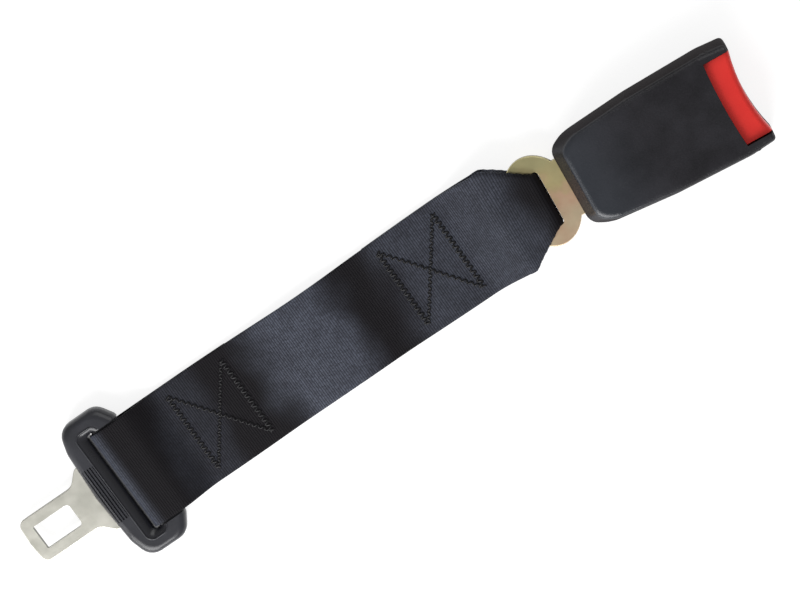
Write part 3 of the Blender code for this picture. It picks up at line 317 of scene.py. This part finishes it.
def plated(name, coloured, roughness, scratch=(12, 1, 1), cut="454440"):
    """Metal with scratches drawn out along an axis, and with its upright walls, where it was cut,
    painted darker as painted shade.
    """
    finish = Finish(name)
    clouds = finish.noise(CLOUDS, 3.0)
    marks = finish.noise(SCRATCHES, 4.0, 0.6, [1 / s for s in scratch])
    finish.bump(marks, SCRATCH_DEPTH)
    # Painted shade: the upright walls take the cut colour.
    return finish.set(
        Base_Color=finish.mixed(
            coloured(finish, clouds), cut, finish.steepness().between(0.45, 0.95) * 0.8),
        Metallic=1.0,
        Roughness=roughness + (clouds - 0.5) * 0.12 + (marks - 0.5) * 0.10,
    )


# Each metal's walls take its cut colour, as painted shade.
nickel = plated("nickel_steel", clouded("cbcabf", "dad8ce"), 0.38)
bare = plated("bare_steel", clouded("a9aaab", "bcbdbe"), 0.33)
drawn = plated("spring_steel", clouded("85868a", "96979a"), 0.28, (1, 1, 1))
zinc = plated("yellow_zinc", chromated, 0.36, (1, 1, 1), "54482f")
print("metals:", ", ".join(f.slot for f in (nickel, bare, drawn, zinc)))

# %% [markdown]
# ## Rounding a stamped or moulded solid
# The packed solids have dead sharp edges. Nothing real does: a mould, a punch and a tumbler all
# leave a small radius, and that radius is what catches the light. So each solid is copied, its
# loose triangles are merged and joined into flat faces again, and its sharp edges are bevelled.

# %% Dressed copies
LEVEL, SHARP, CREASED = (math.radians(a) for a in (1.0, 28.0, 38.0))
SAME_POINT, SAME_AFTER = 1e-6, 2e-6  # metres, before and after the bevel
BENDS = ("latch_spring",)  # the copies that ride on no body


def shown(mesh, name, finish, body, *nodes):
    """An object for a mesh, which rides on a body, if it names one, and stands for the nodes."""
    piece = bpy.data.objects.new(name, mesh)
    bpy.context.scene.collection.objects.link(piece)
    mesh.materials.clear()
    mesh.materials.append(finish.material)
    if body:
        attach(piece, body)
    if nodes:
        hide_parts(*nodes)
    return piece


def mesh_of(bm, name):
    """A mesh with what the bmesh holds, which is then freed."""
    mesh = bpy.data.meshes.new(name)
    bm.to_mesh(mesh)
    bm.free()
    return mesh


def body_of(node):
    return next(b for b, nodes in frame["record"]["behaviour"]["bodies"].items() if node in nodes)


def dressed(node, name, finish, edge):
    """A copy of a solid with its edges rounded, shown in its place."""
    bm = bmesh.new()
    bm.from_mesh(frame["nodes"][node].data)
    bmesh.ops.remove_doubles(bm, verts=bm.verts, dist=SAME_POINT)
    bmesh.ops.dissolve_limit(bm, angle_limit=LEVEL, verts=bm.verts, edges=bm.edges)
    if edge:
        edges = [e for e in bm.edges if len(e.link_faces) == 2 and e.calc_face_angle() > SHARP]
        bmesh.ops.bevel(bm, geom=edges, offset=edge, offset_type="OFFSET", segments=2,
                        profile=0.5, affect="EDGES", clamp_overlap=True, material=-1)
        bmesh.ops.remove_doubles(bm, verts=bm.verts, dist=SAME_AFTER)
    for face in bm.faces:
        face.smooth = True
    for e in bm.edges:
        e.smooth = len(e.link_faces) == 2 and e.calc_face_angle() < CREASED
    body = None if node in BENDS else body_of(node)
    piece = shown(mesh_of(bm, name), name, finish, body, node)
    piece.modifiers.new("even_shading", "WEIGHTED_NORMAL").keep_sharp = True
    return piece


COPIES = (  # the solid, its copy, the finish and the radius of the edges in millimetres
    ("tongue_blade", "tongue_steel", nickel, 0.25),
    ("tongue_cover", "tongue_moulding", charcoal, 0.20),
    ("anchor_plate", "anchor_steel", zinc, 0.25),
    ("top_cover", "housing_upper_shell", slate, 0.35),
    ("bottom_cover", "housing_lower_shell", slate, 0.22),
    ("press_button", "button_cap", red, 0.45),
    ("buckle_frame", "channel_steel", bare, 0.20),
    ("latch", "latch_steel", bare, 0.20),
    ("latch_pin", "latch_pin_steel", drawn, 0.15),
    ("ejector", "ejector_slider", natural, 0.20),
    ("anchor_rivet_left", "rivet_left_steel", bare, 0.0),
    ("anchor_rivet_right", "rivet_right_steel", bare, 0.0),
    ("latch_spring", "latch_spring_wire", drawn, 0.0),
    ("ejector_spring", "ejector_spring_wire", drawn, 0.0),
    ("button_spring_left", "button_spring_left_wire", drawn, 0.0),
    ("button_spring_right", "button_spring_right_wire", drawn, 0.0),
)
pieces = {}
for node, name, finish, edge in COPIES:
    pieces[node] = dressed(node, name, finish, edge * MM)
    print(f"{name}: {len(pieces[node].data.polygons)} faces")

# %% [markdown]
# ## The springs
# The button and the ejector each push on a coil spring, which has to close up by as much as they
# travel. The latch's spring has one leg on the latch, and that leg lifts with it: it bends just in
# front of the latch's pin, which is 41.2 mm from the hub. Here each coil's copy gets a mesh of its
# own, and the latch spring's copy has its place baked into its mesh.

# %% Springs
COILS = (("button_spring_left", "button_press"), ("button_spring_right", "button_press"),
         ("ejector_spring", "ejector_slide"))
for node, joint in COILS:
    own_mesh(pieces[node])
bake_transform(pieces["latch_spring"])

# %% [markdown]
# ## The lip round the slot
# The mould leaves a slim raised lip round the slot that the webbing comes out of. Its line is a
# rounded box seen from above, and each point of it drops on the cover, so it follows the crown.
# A point that falls past the cover's top, into the slot or on its bar, is left out.

# %% The lip
LIP_RADIUS, LIP_SUNK, LIP_LEVEL = 0.42 * MM, 0.10 * MM, 8.0 * MM
LIP_STEP, CORNER_STEPS, WELL_ABOVE = 0.5 * MM, 12, 50 * MM


def lip_line():
    """Points (x, y), a step apart, round three sides of the slot and all its corners."""
    line = []
    for turn, (to_x, to_y) in enumerate(((1, 1), (-1, 1), (-1, -1), (1, -1))):
        for k in range(CORNER_STEPS + 1):
            angle = math.radians(90 * turn + 90 * k / CORNER_STEPS)
            line.append((RIM_MIDDLE + to_x * (RIM_HALF - RIM_ROUND) + RIM_ROUND * math.cos(angle),
                         to_y * (RIM_SIDE - RIM_ROUND) + RIM_ROUND * math.sin(angle)))
    line = np.array(line)
    along = np.concatenate([[0], np.cumsum(np.linalg.norm(np.diff(line, axis=0), axis=1))])
    at = np.arange(0, along[-1], LIP_STEP)
    return np.stack([np.interp(at, along, line[:, i]) for i in (0, 1)], 1)


cover = bmesh.new()
cover.from_mesh(frame["nodes"]["tongue_cover"].data)
cover_tree = BVHTree.FromBMesh(cover)
cover.free()
dropped = [cover_tree.ray_cast(Vector((x, y, WELL_ABOVE)), Vector((0, 0, -1)))[0]
           for x, y in lip_line()]
dropped = [hit for hit in dropped if hit and hit.z > LIP_LEVEL]
curve = bpy.data.curves.new("lip_line", "CURVE")
curve.dimensions, curve.bevel_depth, curve.bevel_resolution = "3D", LIP_RADIUS, 3
curve.use_fill_caps = True
spline = curve.splines.new("POLY")
spline.points.add(len(dropped) - 1)
for point, hit in zip(spline.points, dropped):
    point.co = (hit.x, hit.y, hit.z - LIP_SUNK, 1)
drawn_line = bpy.data.objects.new("lip_line", curve)
lip_mesh = bpy.data.meshes.new_from_object(drawn_line)
lip_mesh.shade_smooth()
bpy.data.objects.remove(drawn_line)
shown(lip_mesh, "slot_lip", charcoal, "tongue")
print(f"slot_lip: {len(dropped)} points, {len(lip_mesh.polygons)} faces")

# %% [markdown]
# ## Sizes along the strap
# The strap turns round the tongue's bar at one end and round the anchor plate's bar at the other.
# All that lies between is counted from the two folds: the rows of stitches, the cut ends of the
# webbing under the strap and the low arch of its middle.

# %% Sizes along the strap
T = 1.2 * MM  # the webbing's thickness
SEAT_GAP, STRAP_GAP, PLY_GAP = 0.3 * MM, 0.4 * MM, 0.3 * MM
BAR_START, BAR_END, BAR_THICKNESS = 10.85 * MM, 24.05 * MM, 6.2 * MM
TONGUE_FOLD = BAR_START - STRAP_GAP - T
ANCHOR_FOLD = TONGUE_FOLD + 220.5 * MM
TONGUE_LEVEL = BAR_THICKNESS / 2 + STRAP_GAP + T
ANCHOR_THICKNESS, ANCHOR_BAR, ANCHOR_LEVEL = 3.0 * MM, 14.7 * MM, 8.2 * MM
FIRST_ROW = TONGUE_FOLD + 37.0 * MM
LAST_ROW = ANCHOR_FOLD - 45.2 * MM
SEAM_LENGTH, TAIL_LENGTH = 28.5 * MM, 5.0 * MM
FIRST_TAIL = FIRST_ROW + SEAM_LENGTH + TAIL_LENGTH
LAST_TAIL = LAST_ROW - SEAM_LENGTH - TAIL_LENGTH
ARCH = 2.2 * MM
SNUG = 0.33 * MM  # how far the webbing fills its clearance in the anchor's slot
BAR_LEAD, HEAD_LEAD = 0.6 * MM, 0.8 * MM  # how far the loops stay level past what they hold
SLOPE_GAP, JOIN = 3 * MM, 2 * MM  # left out between two stretches, so that the line bends softly
STEP = 1.0 * MM
print(f"the strap's folds are {(ANCHOR_FOLD - TONGUE_FOLD) / MM:.1f} mm apart")

# %% [markdown]
# ## The route of the webbing
# The belt is one length of webbing 48 mm wide. From a cut end under the strap it runs to the
# tongue, round the tongue's bar, back along the top, round the anchor plate's bar and under the
# strap again to its other cut end. The route is its middle line seen from the side.

# %% The route
def smooth(t):
    t = min(max(t, 0.0), 1.0)
    return t * t * (3 - 2 * t)


def route():
    """Points (x, z, thickness) of the middle line from cut end to cut end."""
    low, ply, folded = T / 2, T + PLY_GAP, 2 * T
    near_centre = TONGUE_FOLD + TONGUE_LEVEL
    inner = ANCHOR_THICKNESS / 2 + SEAT_GAP
    far_centre = ANCHOR_FOLD - inner - folded + SNUG
    near_radius, far_radius = TONGUE_LEVEL - low, inner + folded / 2
    over_bar = BAR_END + BAR_LEAD
    over_head = far_centre - ANCHOR_BAR - HEAD_LEAD
    high = 2 * TONGUE_LEVEL - low
    points = []

    def run(x0, x1, z0, z1, t0=T, t1=T, steps=24):
        """A stretch that eases from one height and thickness to another."""
        for k in range(steps + 1):
            share = k / steps
            ease = smooth(share)
            points.append((x0 + (x1 - x0) * share, z0 + (z1 - z0) * ease, t0 + (t1 - t0) * ease))

    def turn(centre_x, centre_z, radius, start, end, thickness, steps=32):
        """A part of a circle round a bar."""
        for k in range(steps + 1):
            angle = start + (end - start) * k / steps
            points.append((centre_x + radius * math.cos(angle),
                           centre_z + radius * math.sin(angle), thickness))

    half_turn = math.pi / 2
    run(FIRST_TAIL, near_centre, low, low)
    turn(near_centre, TONGUE_LEVEL, near_radius, -half_turn, -3 * half_turn, T)
    run(near_centre, over_bar, high, high)
    run(over_bar, FIRST_ROW - SLOPE_GAP, high, low + ply)
    run(FIRST_ROW, FIRST_TAIL, low + ply, low + ply)
    middle = (FIRST_TAIL + LAST_TAIL) / 2
    run(FIRST_TAIL + JOIN, middle, low + ply, low + ply + ARCH)
    run(middle + 2 * JOIN, LAST_TAIL - JOIN, low + ply + ARCH, low + ply)
    run(LAST_TAIL, LAST_ROW, low + ply, low + ply)
    run(LAST_ROW + JOIN, over_head, low + ply, ANCHOR_LEVEL + far_radius, T, folded)
    over, under = ANCHOR_LEVEL + far_radius, ANCHOR_LEVEL - far_radius
    run(over_head + JOIN, far_centre - MM, over, over, folded, folded)
    turn(far_centre, ANCHOR_LEVEL, far_radius, half_turn, -half_turn, folded)
    run(far_centre - MM, over_head + JOIN, under, under, folded, folded)
    run(over_head, LAST_ROW + JOIN, under, low, folded, T)
    run(LAST_ROW, LAST_TAIL, low, low)
    return np.array(points)


def evened(points, step):
    """The length along the line at points a step apart, and those points."""
    gaps = np.linalg.norm(np.diff(points[:, :2], axis=0), axis=1)
    points = points[np.concatenate([[True], gaps > 1e-6])]
    along = np.concatenate([[0], np.cumsum(np.linalg.norm(np.diff(points[:, :2], axis=0), axis=1))])
    at = np.linspace(0, along[-1], int(round(along[-1] / step)) + 1)
    return at, np.stack([np.interp(at, along, column) for column in points.T], 1)


ALONG, ROUTE = evened(route(), STEP)
HEADING = np.gradient(ROUTE[:, :2], axis=0)
HEADING /= np.linalg.norm(HEADING, axis=1)[:, None]
WEBBING_LENGTH = ALONG[-1]
print(f"the webbing was cut {WEBBING_LENGTH / MM:.0f} mm long")

# %% [markdown]
# ## Edges that turn under
# Near the anchor the strap is too wide for the plate's slot, so its edges are turned under along a
# fold line that closes in on the slot and rounds off at the bar. Between the sewn boxes the strap
# has a slight waist. The buckle lies a little askew, and the strap swings over to it.

# %% Widths and the swing
WIDTH, WAIST, FOLDED_WIDTH = 48.0 * MM, 46.5 * MM, 24.7 * MM
WAIST_REACH = 0.3  # of the strap's length, to either side of its middle
TAPER_LENGTH, TAPER_END, NOSE = 19.5 * MM, 1.5 * MM, 2.4 * MM
LOOSE, LOOSE_LENGTH = 1.2 * MM, 6 * MM  # how far the fold line lies outside the edge at first
SWING = math.radians(-5.5)
SWING_LENGTH = 18.0 * MM
SWING_END = ANCHOR_FOLD - ANCHOR_THICKNESS / 2 - 2 * T - ANCHOR_BAR + 4.0 * MM
SWING_START = SWING_END - SWING_LENGTH


def swung(x, y):
    """Where a point of the straight strap lies, now that the buckle lies a little askew."""
    if x <= SWING_START:
        return x, y
    radius = SWING_LENGTH / SWING
    turn = SWING * min((x - SWING_START) / SWING_LENGTH, 1.0)
    beyond = max(x - SWING_END, 0.0)
    return (SWING_START + radius * math.sin(turn) + beyond * math.cos(turn) - y * math.sin(turn),
            radius * (1 - math.cos(turn)) + beyond * math.sin(turn) + y * math.cos(turn))


def full_half(x):
    """Half the strap's width before its edges are turned under."""
    middle = (TONGUE_FOLD + ANCHOR_FOLD) / 2
    off = min(abs(x - middle) / (WAIST_REACH * (ANCHOR_FOLD - TONGUE_FOLD)), 1.0)
    return (WAIST + (WIDTH - WAIST) * smooth(off)) / 2


def straight_ease(t, corner=0.10):
    """0 to 1 along a straight line whose two ends are rounded off."""
    t = min(max(t, 0.0), 1.0)
    steep = 1 / (1 - corner)
    if t < corner:
        return steep * t * t / (2 * corner)
    if t > 1 - corner:
        return 1 - steep * (1 - t) ** 2 / (2 * corner)
    return steep * (t - corner / 2)


def fold_half(x):
    """Half the width at which the edges turn under."""
    share = straight_ease((ANCHOR_FOLD - TAPER_END - x) / TAPER_LENGTH)
    into = min(max(x - ANCHOR_FOLD + NOSE, 0.0), NOSE)
    nose = NOSE - math.sqrt(NOSE ** 2 - into ** 2)
    loose = LOOSE * smooth((ANCHOR_FOLD - TAPER_LENGTH - TAPER_END - x) / LOOSE_LENGTH)
    return FOLDED_WIDTH / 2 + (full_half(x) - FOLDED_WIDTH / 2) * share - nose + loose


print("half widths where the edges turn under:",
      [round(fold_half(ANCHOR_FOLD - back * MM) / MM, 1) for back in (20, 15, 10, 5)])

# %% [markdown]
# ## Laying the webbing
# The webbing starts as it comes off the roll: a flat grid, whose UV map says how far along and
# across each point is. Each point is then laid on the route. One beyond the fold line goes round
# a half circle and back inwards. The weave reads the UV map, so it turns under with the cloth.

# %% Laying a point
CLOTH = 1.05 * MM  # as thick as it is drawn
LEAST_RADIUS = 0.05 * MM  # of the half circle, where the strap is still single


def laid(along, across, lift=0.0):
    """Where a point of the flat webbing lies. Lift is outwards from its middle."""
    x, z, thick = (np.interp(along, ALONG, ROUTE[:, i]) for i in range(3))
    ahead = Vector([np.interp(along, ALONG, HEADING[:, i]) for i in range(2)]).normalized()
    normal = Vector((-ahead.y, ahead.x))
    reach = abs(across) / (WIDTH / 2) * full_half(x)
    edge = fold_half(x)
    radius = max((thick - T) / 2, LEAST_RADIUS)
    past = reach - (edge - radius)
    y, up, turned = reach, radius, 0.0
    if past > 0:
        turned = min(past / radius, math.pi)
        y = edge - radius + radius * math.sin(turned)
        up = radius * math.cos(turned)
        if past > math.pi * radius:
            y = edge - radius - (past - math.pi * radius)
    y += lift * math.sin(turned)
    up += lift * math.cos(turned)
    place = swung(x + normal.x * up, math.copysign(y, across))
    return Vector((*place, z + normal.y * up))


print("a quarter of the way along:", [round(c / MM, 1) for c in laid(WEBBING_LENGTH / 4, 0)])

# %% [markdown]
# ## Webbing
# Belt webbing is woven with a thick weft, so it has ribs across, about one a millimetre, and each
# rib is a row of yarns side by side. The colour is painted darker in the grooves between ribs, as
# painted shade, and lighter on their crests, as painted highlight. Bands of painted sheen lie along
# the strap, and a painted highlight lies on the fold at the tongue; the roughness is lower there
# too.

# %% Webbing finish
RIB, YARN, WEAVE_DEPTH = 1.05 * MM, 0.72 * MM, 0.20 * MM
FUZZ, CLOUD, PATCH, CLOUD_SHIFT = 0.35 * MM, 24 * MM, 7 * MM, 26 * MM
# Millimetres along the strap from which and to which each band of painted sheen rises, then falls,
# and its share
SHEEN_BAND_PLACES = ((30, 46, 50, 66, 0.30), (78, 100, 119, 139, 0.95), (142, 166, 214, 226, 0.62))
FOLD_HIGHLIGHT_FROM, FOLD_HIGHLIGHT_TO, FOLD_HIGHLIGHT_SHARE = 9 * MM, 17 * MM, 0.95

webbing = Finish("webbing")
run_along, run_across = (
    webbing.part(webbing.node("UVMap", {}, uv_map="weave"), axis) for axis in (0, 1))
pick = run_along / RIB
end = run_across / YARN + pick.floor() * 0.5
weave = abs((pick * math.pi).wave()) ** 0.5 * (abs((end * math.pi).wave()) ** 0.5 * 0.45 + 0.55)
single = webbing.node("TexWhiteNoise", {"Vector": webbing.node(
    "CombineXYZ", {0: pick.floor(), 1: end.floor()})})
fuzz = webbing.noise(FUZZ, 3.0)
cloud = webbing.noise(CLOUD, 1.5)
patch = webbing.noise(PATCH, 3.0)
spot = webbing.part(webbing.place(), 0)
here = spot + (cloud - 0.5) * CLOUD_SHIFT
# Painted sheen: lighter colour in bands along the strap, and a painted highlight on the tongue's
# fold.
sheen_bands_painted = [(here.between(rise * MM, full * MM) - here.between(fall * MM, gone * MM)) * share
          for rise, full, fall, gone, share in SHEEN_BAND_PLACES]
fold_highlight_painted = (1 - spot.between(FOLD_HIGHLIGHT_FROM, FOLD_HIGHLIGHT_TO)) * FOLD_HIGHLIGHT_SHARE
painted_shine = (sheen_bands_painted[0] + sheen_bands_painted[1] + sheen_bands_painted[2]) * (patch.between(0.2, 0.8) * 0.4 + 0.8) + fold_highlight_painted
webbing.bump(weave + fuzz * 0.15 + single * 0.12, WEAVE_DEPTH, 0.9)
webbing.set(
    # The weave paints the grooves between ribs darker, as painted shade, and the crests lighter, as
    # painted highlight.
    Base_Color=webbing.mixed(
        webbing.mixed("010101", "120f14", weave),
        webbing.mixed("0b0b0f", "4d515d", weave * (single * 0.5 + 0.7)), painted_shine),
    Roughness=0.64 - painted_shine * 0.14 + (fuzz - 0.5) * 0.1,
    Specular_IOR_Level=0.15,
)
print(f"webbing: ribs of {RIB / MM:.2f} mm, {len(sheen_bands_painted)} crowns")

# %% [markdown]
# ## Two halves that meet
# The strap turns round a bar at each end, so each end has to bend by its own joint. The webbing is
# therefore laid as two lengths that meet rib to rib between the sewn boxes.

# %% The webbing
CELLS_ACROSS, SELVEDGE, RIM_ANGLE = 48, 0.25 * MM, 1.0
MEETING_X = 120 * MM
near, far = int(np.argmin(ROUTE[:, 0])), int(np.argmax(ROUTE[:, 0]))
MEET = near + int(np.argmin(abs(ROUTE[near:far, 0] - MEETING_X)))


def length_of_webbing(name, first, last):
    """The webbing between two points of the route, its edges rounded except where it meets."""
    bm = bmesh.new()
    bmesh.ops.create_grid(bm, x_segments=last - first, y_segments=CELLS_ACROSS, size=0.5)
    outer = bmesh.ops.extrude_face_region(bm, geom=bm.faces[:], use_keep_orig=True)["geom"]
    for vert in outer:
        if isinstance(vert, bmesh.types.BMVert):
            vert.co.z = 1.0
    bmesh.ops.recalc_face_normals(bm, faces=bm.faces)
    start, end = ALONG[first], ALONG[last]
    flat = {v: (start + (v.co.x + 0.5) * (end - start), v.co.y * WIDTH, (v.co.z - 0.5) * CLOTH)
            for v in bm.verts}
    layer = bm.loops.layers.uv.new("weave")
    for face in bm.faces:
        for loop in face.loops:
            along, across, _ = flat[loop.vert]
            loop[layer].uv = along, across + WIDTH / 2
    rims = [e for e in bm.edges if e.calc_face_angle() > RIM_ANGLE]
    at_meeting = [e for e in rims if all(abs(flat[v][0] - ALONG[MEET]) < 0.1 * MM for v in e.verts)]
    selvedge = [e for e in rims if e not in at_meeting]
    for vert, place in flat.items():
        vert.co = laid(*place)
    bm.normal_update()
    for face in bm.faces:
        face.smooth = True
    for edge in at_meeting:
        edge.smooth = False
    bmesh.ops.bevel(bm, geom=selvedge, offset=SELVEDGE, segments=2, profile=0.5, affect="EDGES",
                    clamp_overlap=True, material=-1)
    piece = shown(mesh_of(bm, name), name, webbing, None, "strap")
    print(f"{name}: {(end - start) / MM:.0f} mm, {len(piece.data.polygons)} faces")
    return piece


tongue_half = length_of_webbing("webbing_tongue_half", 0, MEET)
anchor_half = length_of_webbing("webbing_anchor_half", MEET, len(ALONG) - 1)
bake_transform(tongue_half)
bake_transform(anchor_half)

# %% [markdown]
# ## A stitch
# A thread that shows is a slim bead between two needle holes. It is made as a sphere, drawn out to
# the length of the stitch and set into the cloth.

# %% A stitch
THREAD, SEAM_HALF, NEEDLE, CROSS_NEEDLE = 0.95 * MM, 19.0 * MM, 2.5 * MM, 2.8 * MM
ROW_SIDE, CROSS_SIDE = 1.5 * MM, 0.9 * MM  # how far the needle goes to either side of its line
BEAD_HALF = 0.52  # of a stitch's length, so that two beads share a needle hole

bm = bmesh.new()
bmesh.ops.create_uvsphere(bm, u_segments=8, v_segments=5, radius=1.0)
bead = mesh_of(bm, "bead")

cotton = Finish("webbing")
cotton.set(Base_Color=cotton.mixed("020103", "100f13", cotton.noise(1.2 * MM)),
           Roughness=0.45, Specular_IOR_Level=0.35)


def zigzag(start, end, pitch, side):
    """Needle holes (x, y) that go from side to side of a line."""
    start, end = Vector(start), Vector(end)
    count = max(2, round((end - start).length / pitch * 2))
    aside = (end - start).normalized().orthogonal() * side
    return [start.lerp(end, k / count) + aside * (1 if k % 2 else -1) for k in range(count + 1)]


def thread(bm, a, b, out):
    """One stitch between two points of the cloth, whose outward side is given."""
    along = b - a
    axes = Matrix((along.normalized(), out.cross(along).normalized(), out)).transposed()
    shape = Matrix.Diagonal((along.length * BEAD_HALF, THREAD / 2, THREAD / 2))
    before = len(bm.verts)
    bm.from_mesh(bead)
    bm.verts.ensure_lookup_table()
    for vert in bm.verts[before:]:
        vert.co = (a + b) / 2 + axes @ shape @ vert.co


print(f"a bead of {len(bead.polygons)} faces")

# %% [markdown]
# ## Sewing
# Each end is sewn down with a box: a row of zigzag across the strap, another 28.5 mm on, and a
# cross between them. It shows on the top and again on the ply beneath, where it lies deeper.

# %% Sewn boxes
def sewn(name, first, last, under):
    """The box between two rows, on the strap's top and on the ply under it."""
    bm = bmesh.new()
    top = slice(near, far + 1)
    for part, lift in ((top, CLOTH / 2), (under, CLOTH / 2 - THREAD / 3)):
        order = np.argsort(ROUTE[part, 0])
        xs, lengths = ROUTE[part, 0][order], ALONG[part][order]
        for line in (
            zigzag((first, -SEAM_HALF), (first, SEAM_HALF), NEEDLE, ROW_SIDE),
            zigzag((last, -SEAM_HALF), (last, SEAM_HALF), NEEDLE, ROW_SIDE),
            zigzag((first, -SEAM_HALF), (last, SEAM_HALF), CROSS_NEEDLE, CROSS_SIDE),
            zigzag((first, SEAM_HALF), (last, -SEAM_HALF), CROSS_NEEDLE, CROSS_SIDE),
        ):
            holes = [(np.interp(x, xs, lengths), y) for x, y in line]
            for here, there in zip(holes, holes[1:]):
                a, b = laid(*here, lift), laid(*there, lift)
                thread(bm, a, b, (laid(*here, lift + MM) - a).normalized())
    for face in bm.faces:
        face.smooth = True
    piece = shown(mesh_of(bm, name), name, cotton, "strap")
    print(f"{name}: {len(piece.data.polygons)} faces")
    return piece


tongue_box = sewn("tongue_end_stitches", FIRST_ROW, FIRST_ROW + SEAM_LENGTH, slice(0, near))
anchor_box = sewn("anchor_end_stitches", LAST_ROW, LAST_ROW - SEAM_LENGTH, slice(far, None))

# %% [markdown]
# ## Floor and light
# The floor is a pale sheet that glows a little, so that it stays white in the picture and still
# takes a shadow. The light is soft and comes mostly from above, as in a light tent.

# %% Floor and light
FLOOR_GREY, FLOOR_GLOW, ROOM = 0.36, 0.77, 0.35
CENTRE = Vector((0.148, -0.002, 0.008))
SOFTBOXES = (  # name, place seen from the object's centre, size in metres and watts
    ("key", (-0.80, -0.85, 0.75), (1.2, 0.8), 25),
    ("low", (-1.10, -0.50, 0.34), (1.4, 0.35), 4),
    ("fill", (0.65, 0.70, 1.00), (0.9, 0.9), 5),
)

floor_finish = Finish("floor")
floor_finish.set(Base_Color=(FLOOR_GREY, FLOOR_GREY, FLOOR_GREY, 1), Roughness=0.9,
                 Emission_Color=(1, 1, 1, 1), Emission_Strength=FLOOR_GLOW)
bpy.ops.mesh.primitive_plane_add(size=6, location=(0.15, 0, 0))
floor = bpy.context.object
floor.name = "floor"
floor.data.materials.append(floor_finish.material)

world = bpy.data.worlds.new("studio")
bpy.context.scene.world = world
world.use_nodes = True
world.node_tree.nodes["Background"].inputs["Color"].default_value = (1, 1, 1, 1)
world.node_tree.nodes["Background"].inputs["Strength"].default_value = ROOM


def softbox(name, place, aim, size, power):
    light = bpy.data.lights.new(name, "AREA")
    light.shape, light.size, light.size_y = "RECTANGLE", *size
    light.energy = power
    lamp = bpy.data.objects.new(name, light)
    bpy.context.scene.collection.objects.link(lamp)
    lamp.location = place
    lamp.rotation_euler = (aim - place).to_track_quat("-Z", "Y").to_euler()


for name, offset, size, watts in SOFTBOXES:
    softbox(name, CENTRE + Vector(offset), CENTRE, size, watts)
print(len(SOFTBOXES), "softboxes and a white room")

# %% [markdown]
# ## Camera
# The photograph was taken from almost straight above, leaning a little towards the side at which
# the picture's top is. Its aim, turn and scale come from a least-squares fit of its outline.

# %% Camera
LEAN, LEAN_TOWARDS, ROLL = (math.radians(a) for a in (12.0, 43.6, 191.4))
DISTANCE = 1.3
PIXELS_PER_METRE = 2381.0
PICTURE = Vector((800, 600))
SEEN_AT = Vector((389.5, 305.7))  # the pixel at which CENTRE is seen

back = Vector((math.sin(LEAN) * math.cos(LEAN_TOWARDS), math.sin(LEAN) * math.sin(LEAN_TOWARDS),
               math.cos(LEAN)))
level = Vector((-math.sin(LEAN_TOWARDS), math.cos(LEAN_TOWARDS), 0))
right = level * math.cos(ROLL) + back.cross(level) * math.sin(ROLL)
up = back.cross(right)
aside = (SEEN_AT - PICTURE / 2) / PIXELS_PER_METRE

camera_data = bpy.data.cameras.new("camera")
camera = bpy.data.objects.new("camera", camera_data)
bpy.context.scene.collection.objects.link(camera)
bpy.context.scene.camera = camera
camera.matrix_world = Matrix.Translation(
    CENTRE + back * DISTANCE - right * aside.x + up * aside.y
) @ Matrix((right, up, back)).transposed().to_4x4()
camera_data.lens = camera_data.sensor_width * DISTANCE * PIXELS_PER_METRE / PICTURE.x
bpy.context.scene.view_settings.view_transform = "Standard"
print("camera lens", round(camera_data.lens))

# %% [markdown]
# ## The end
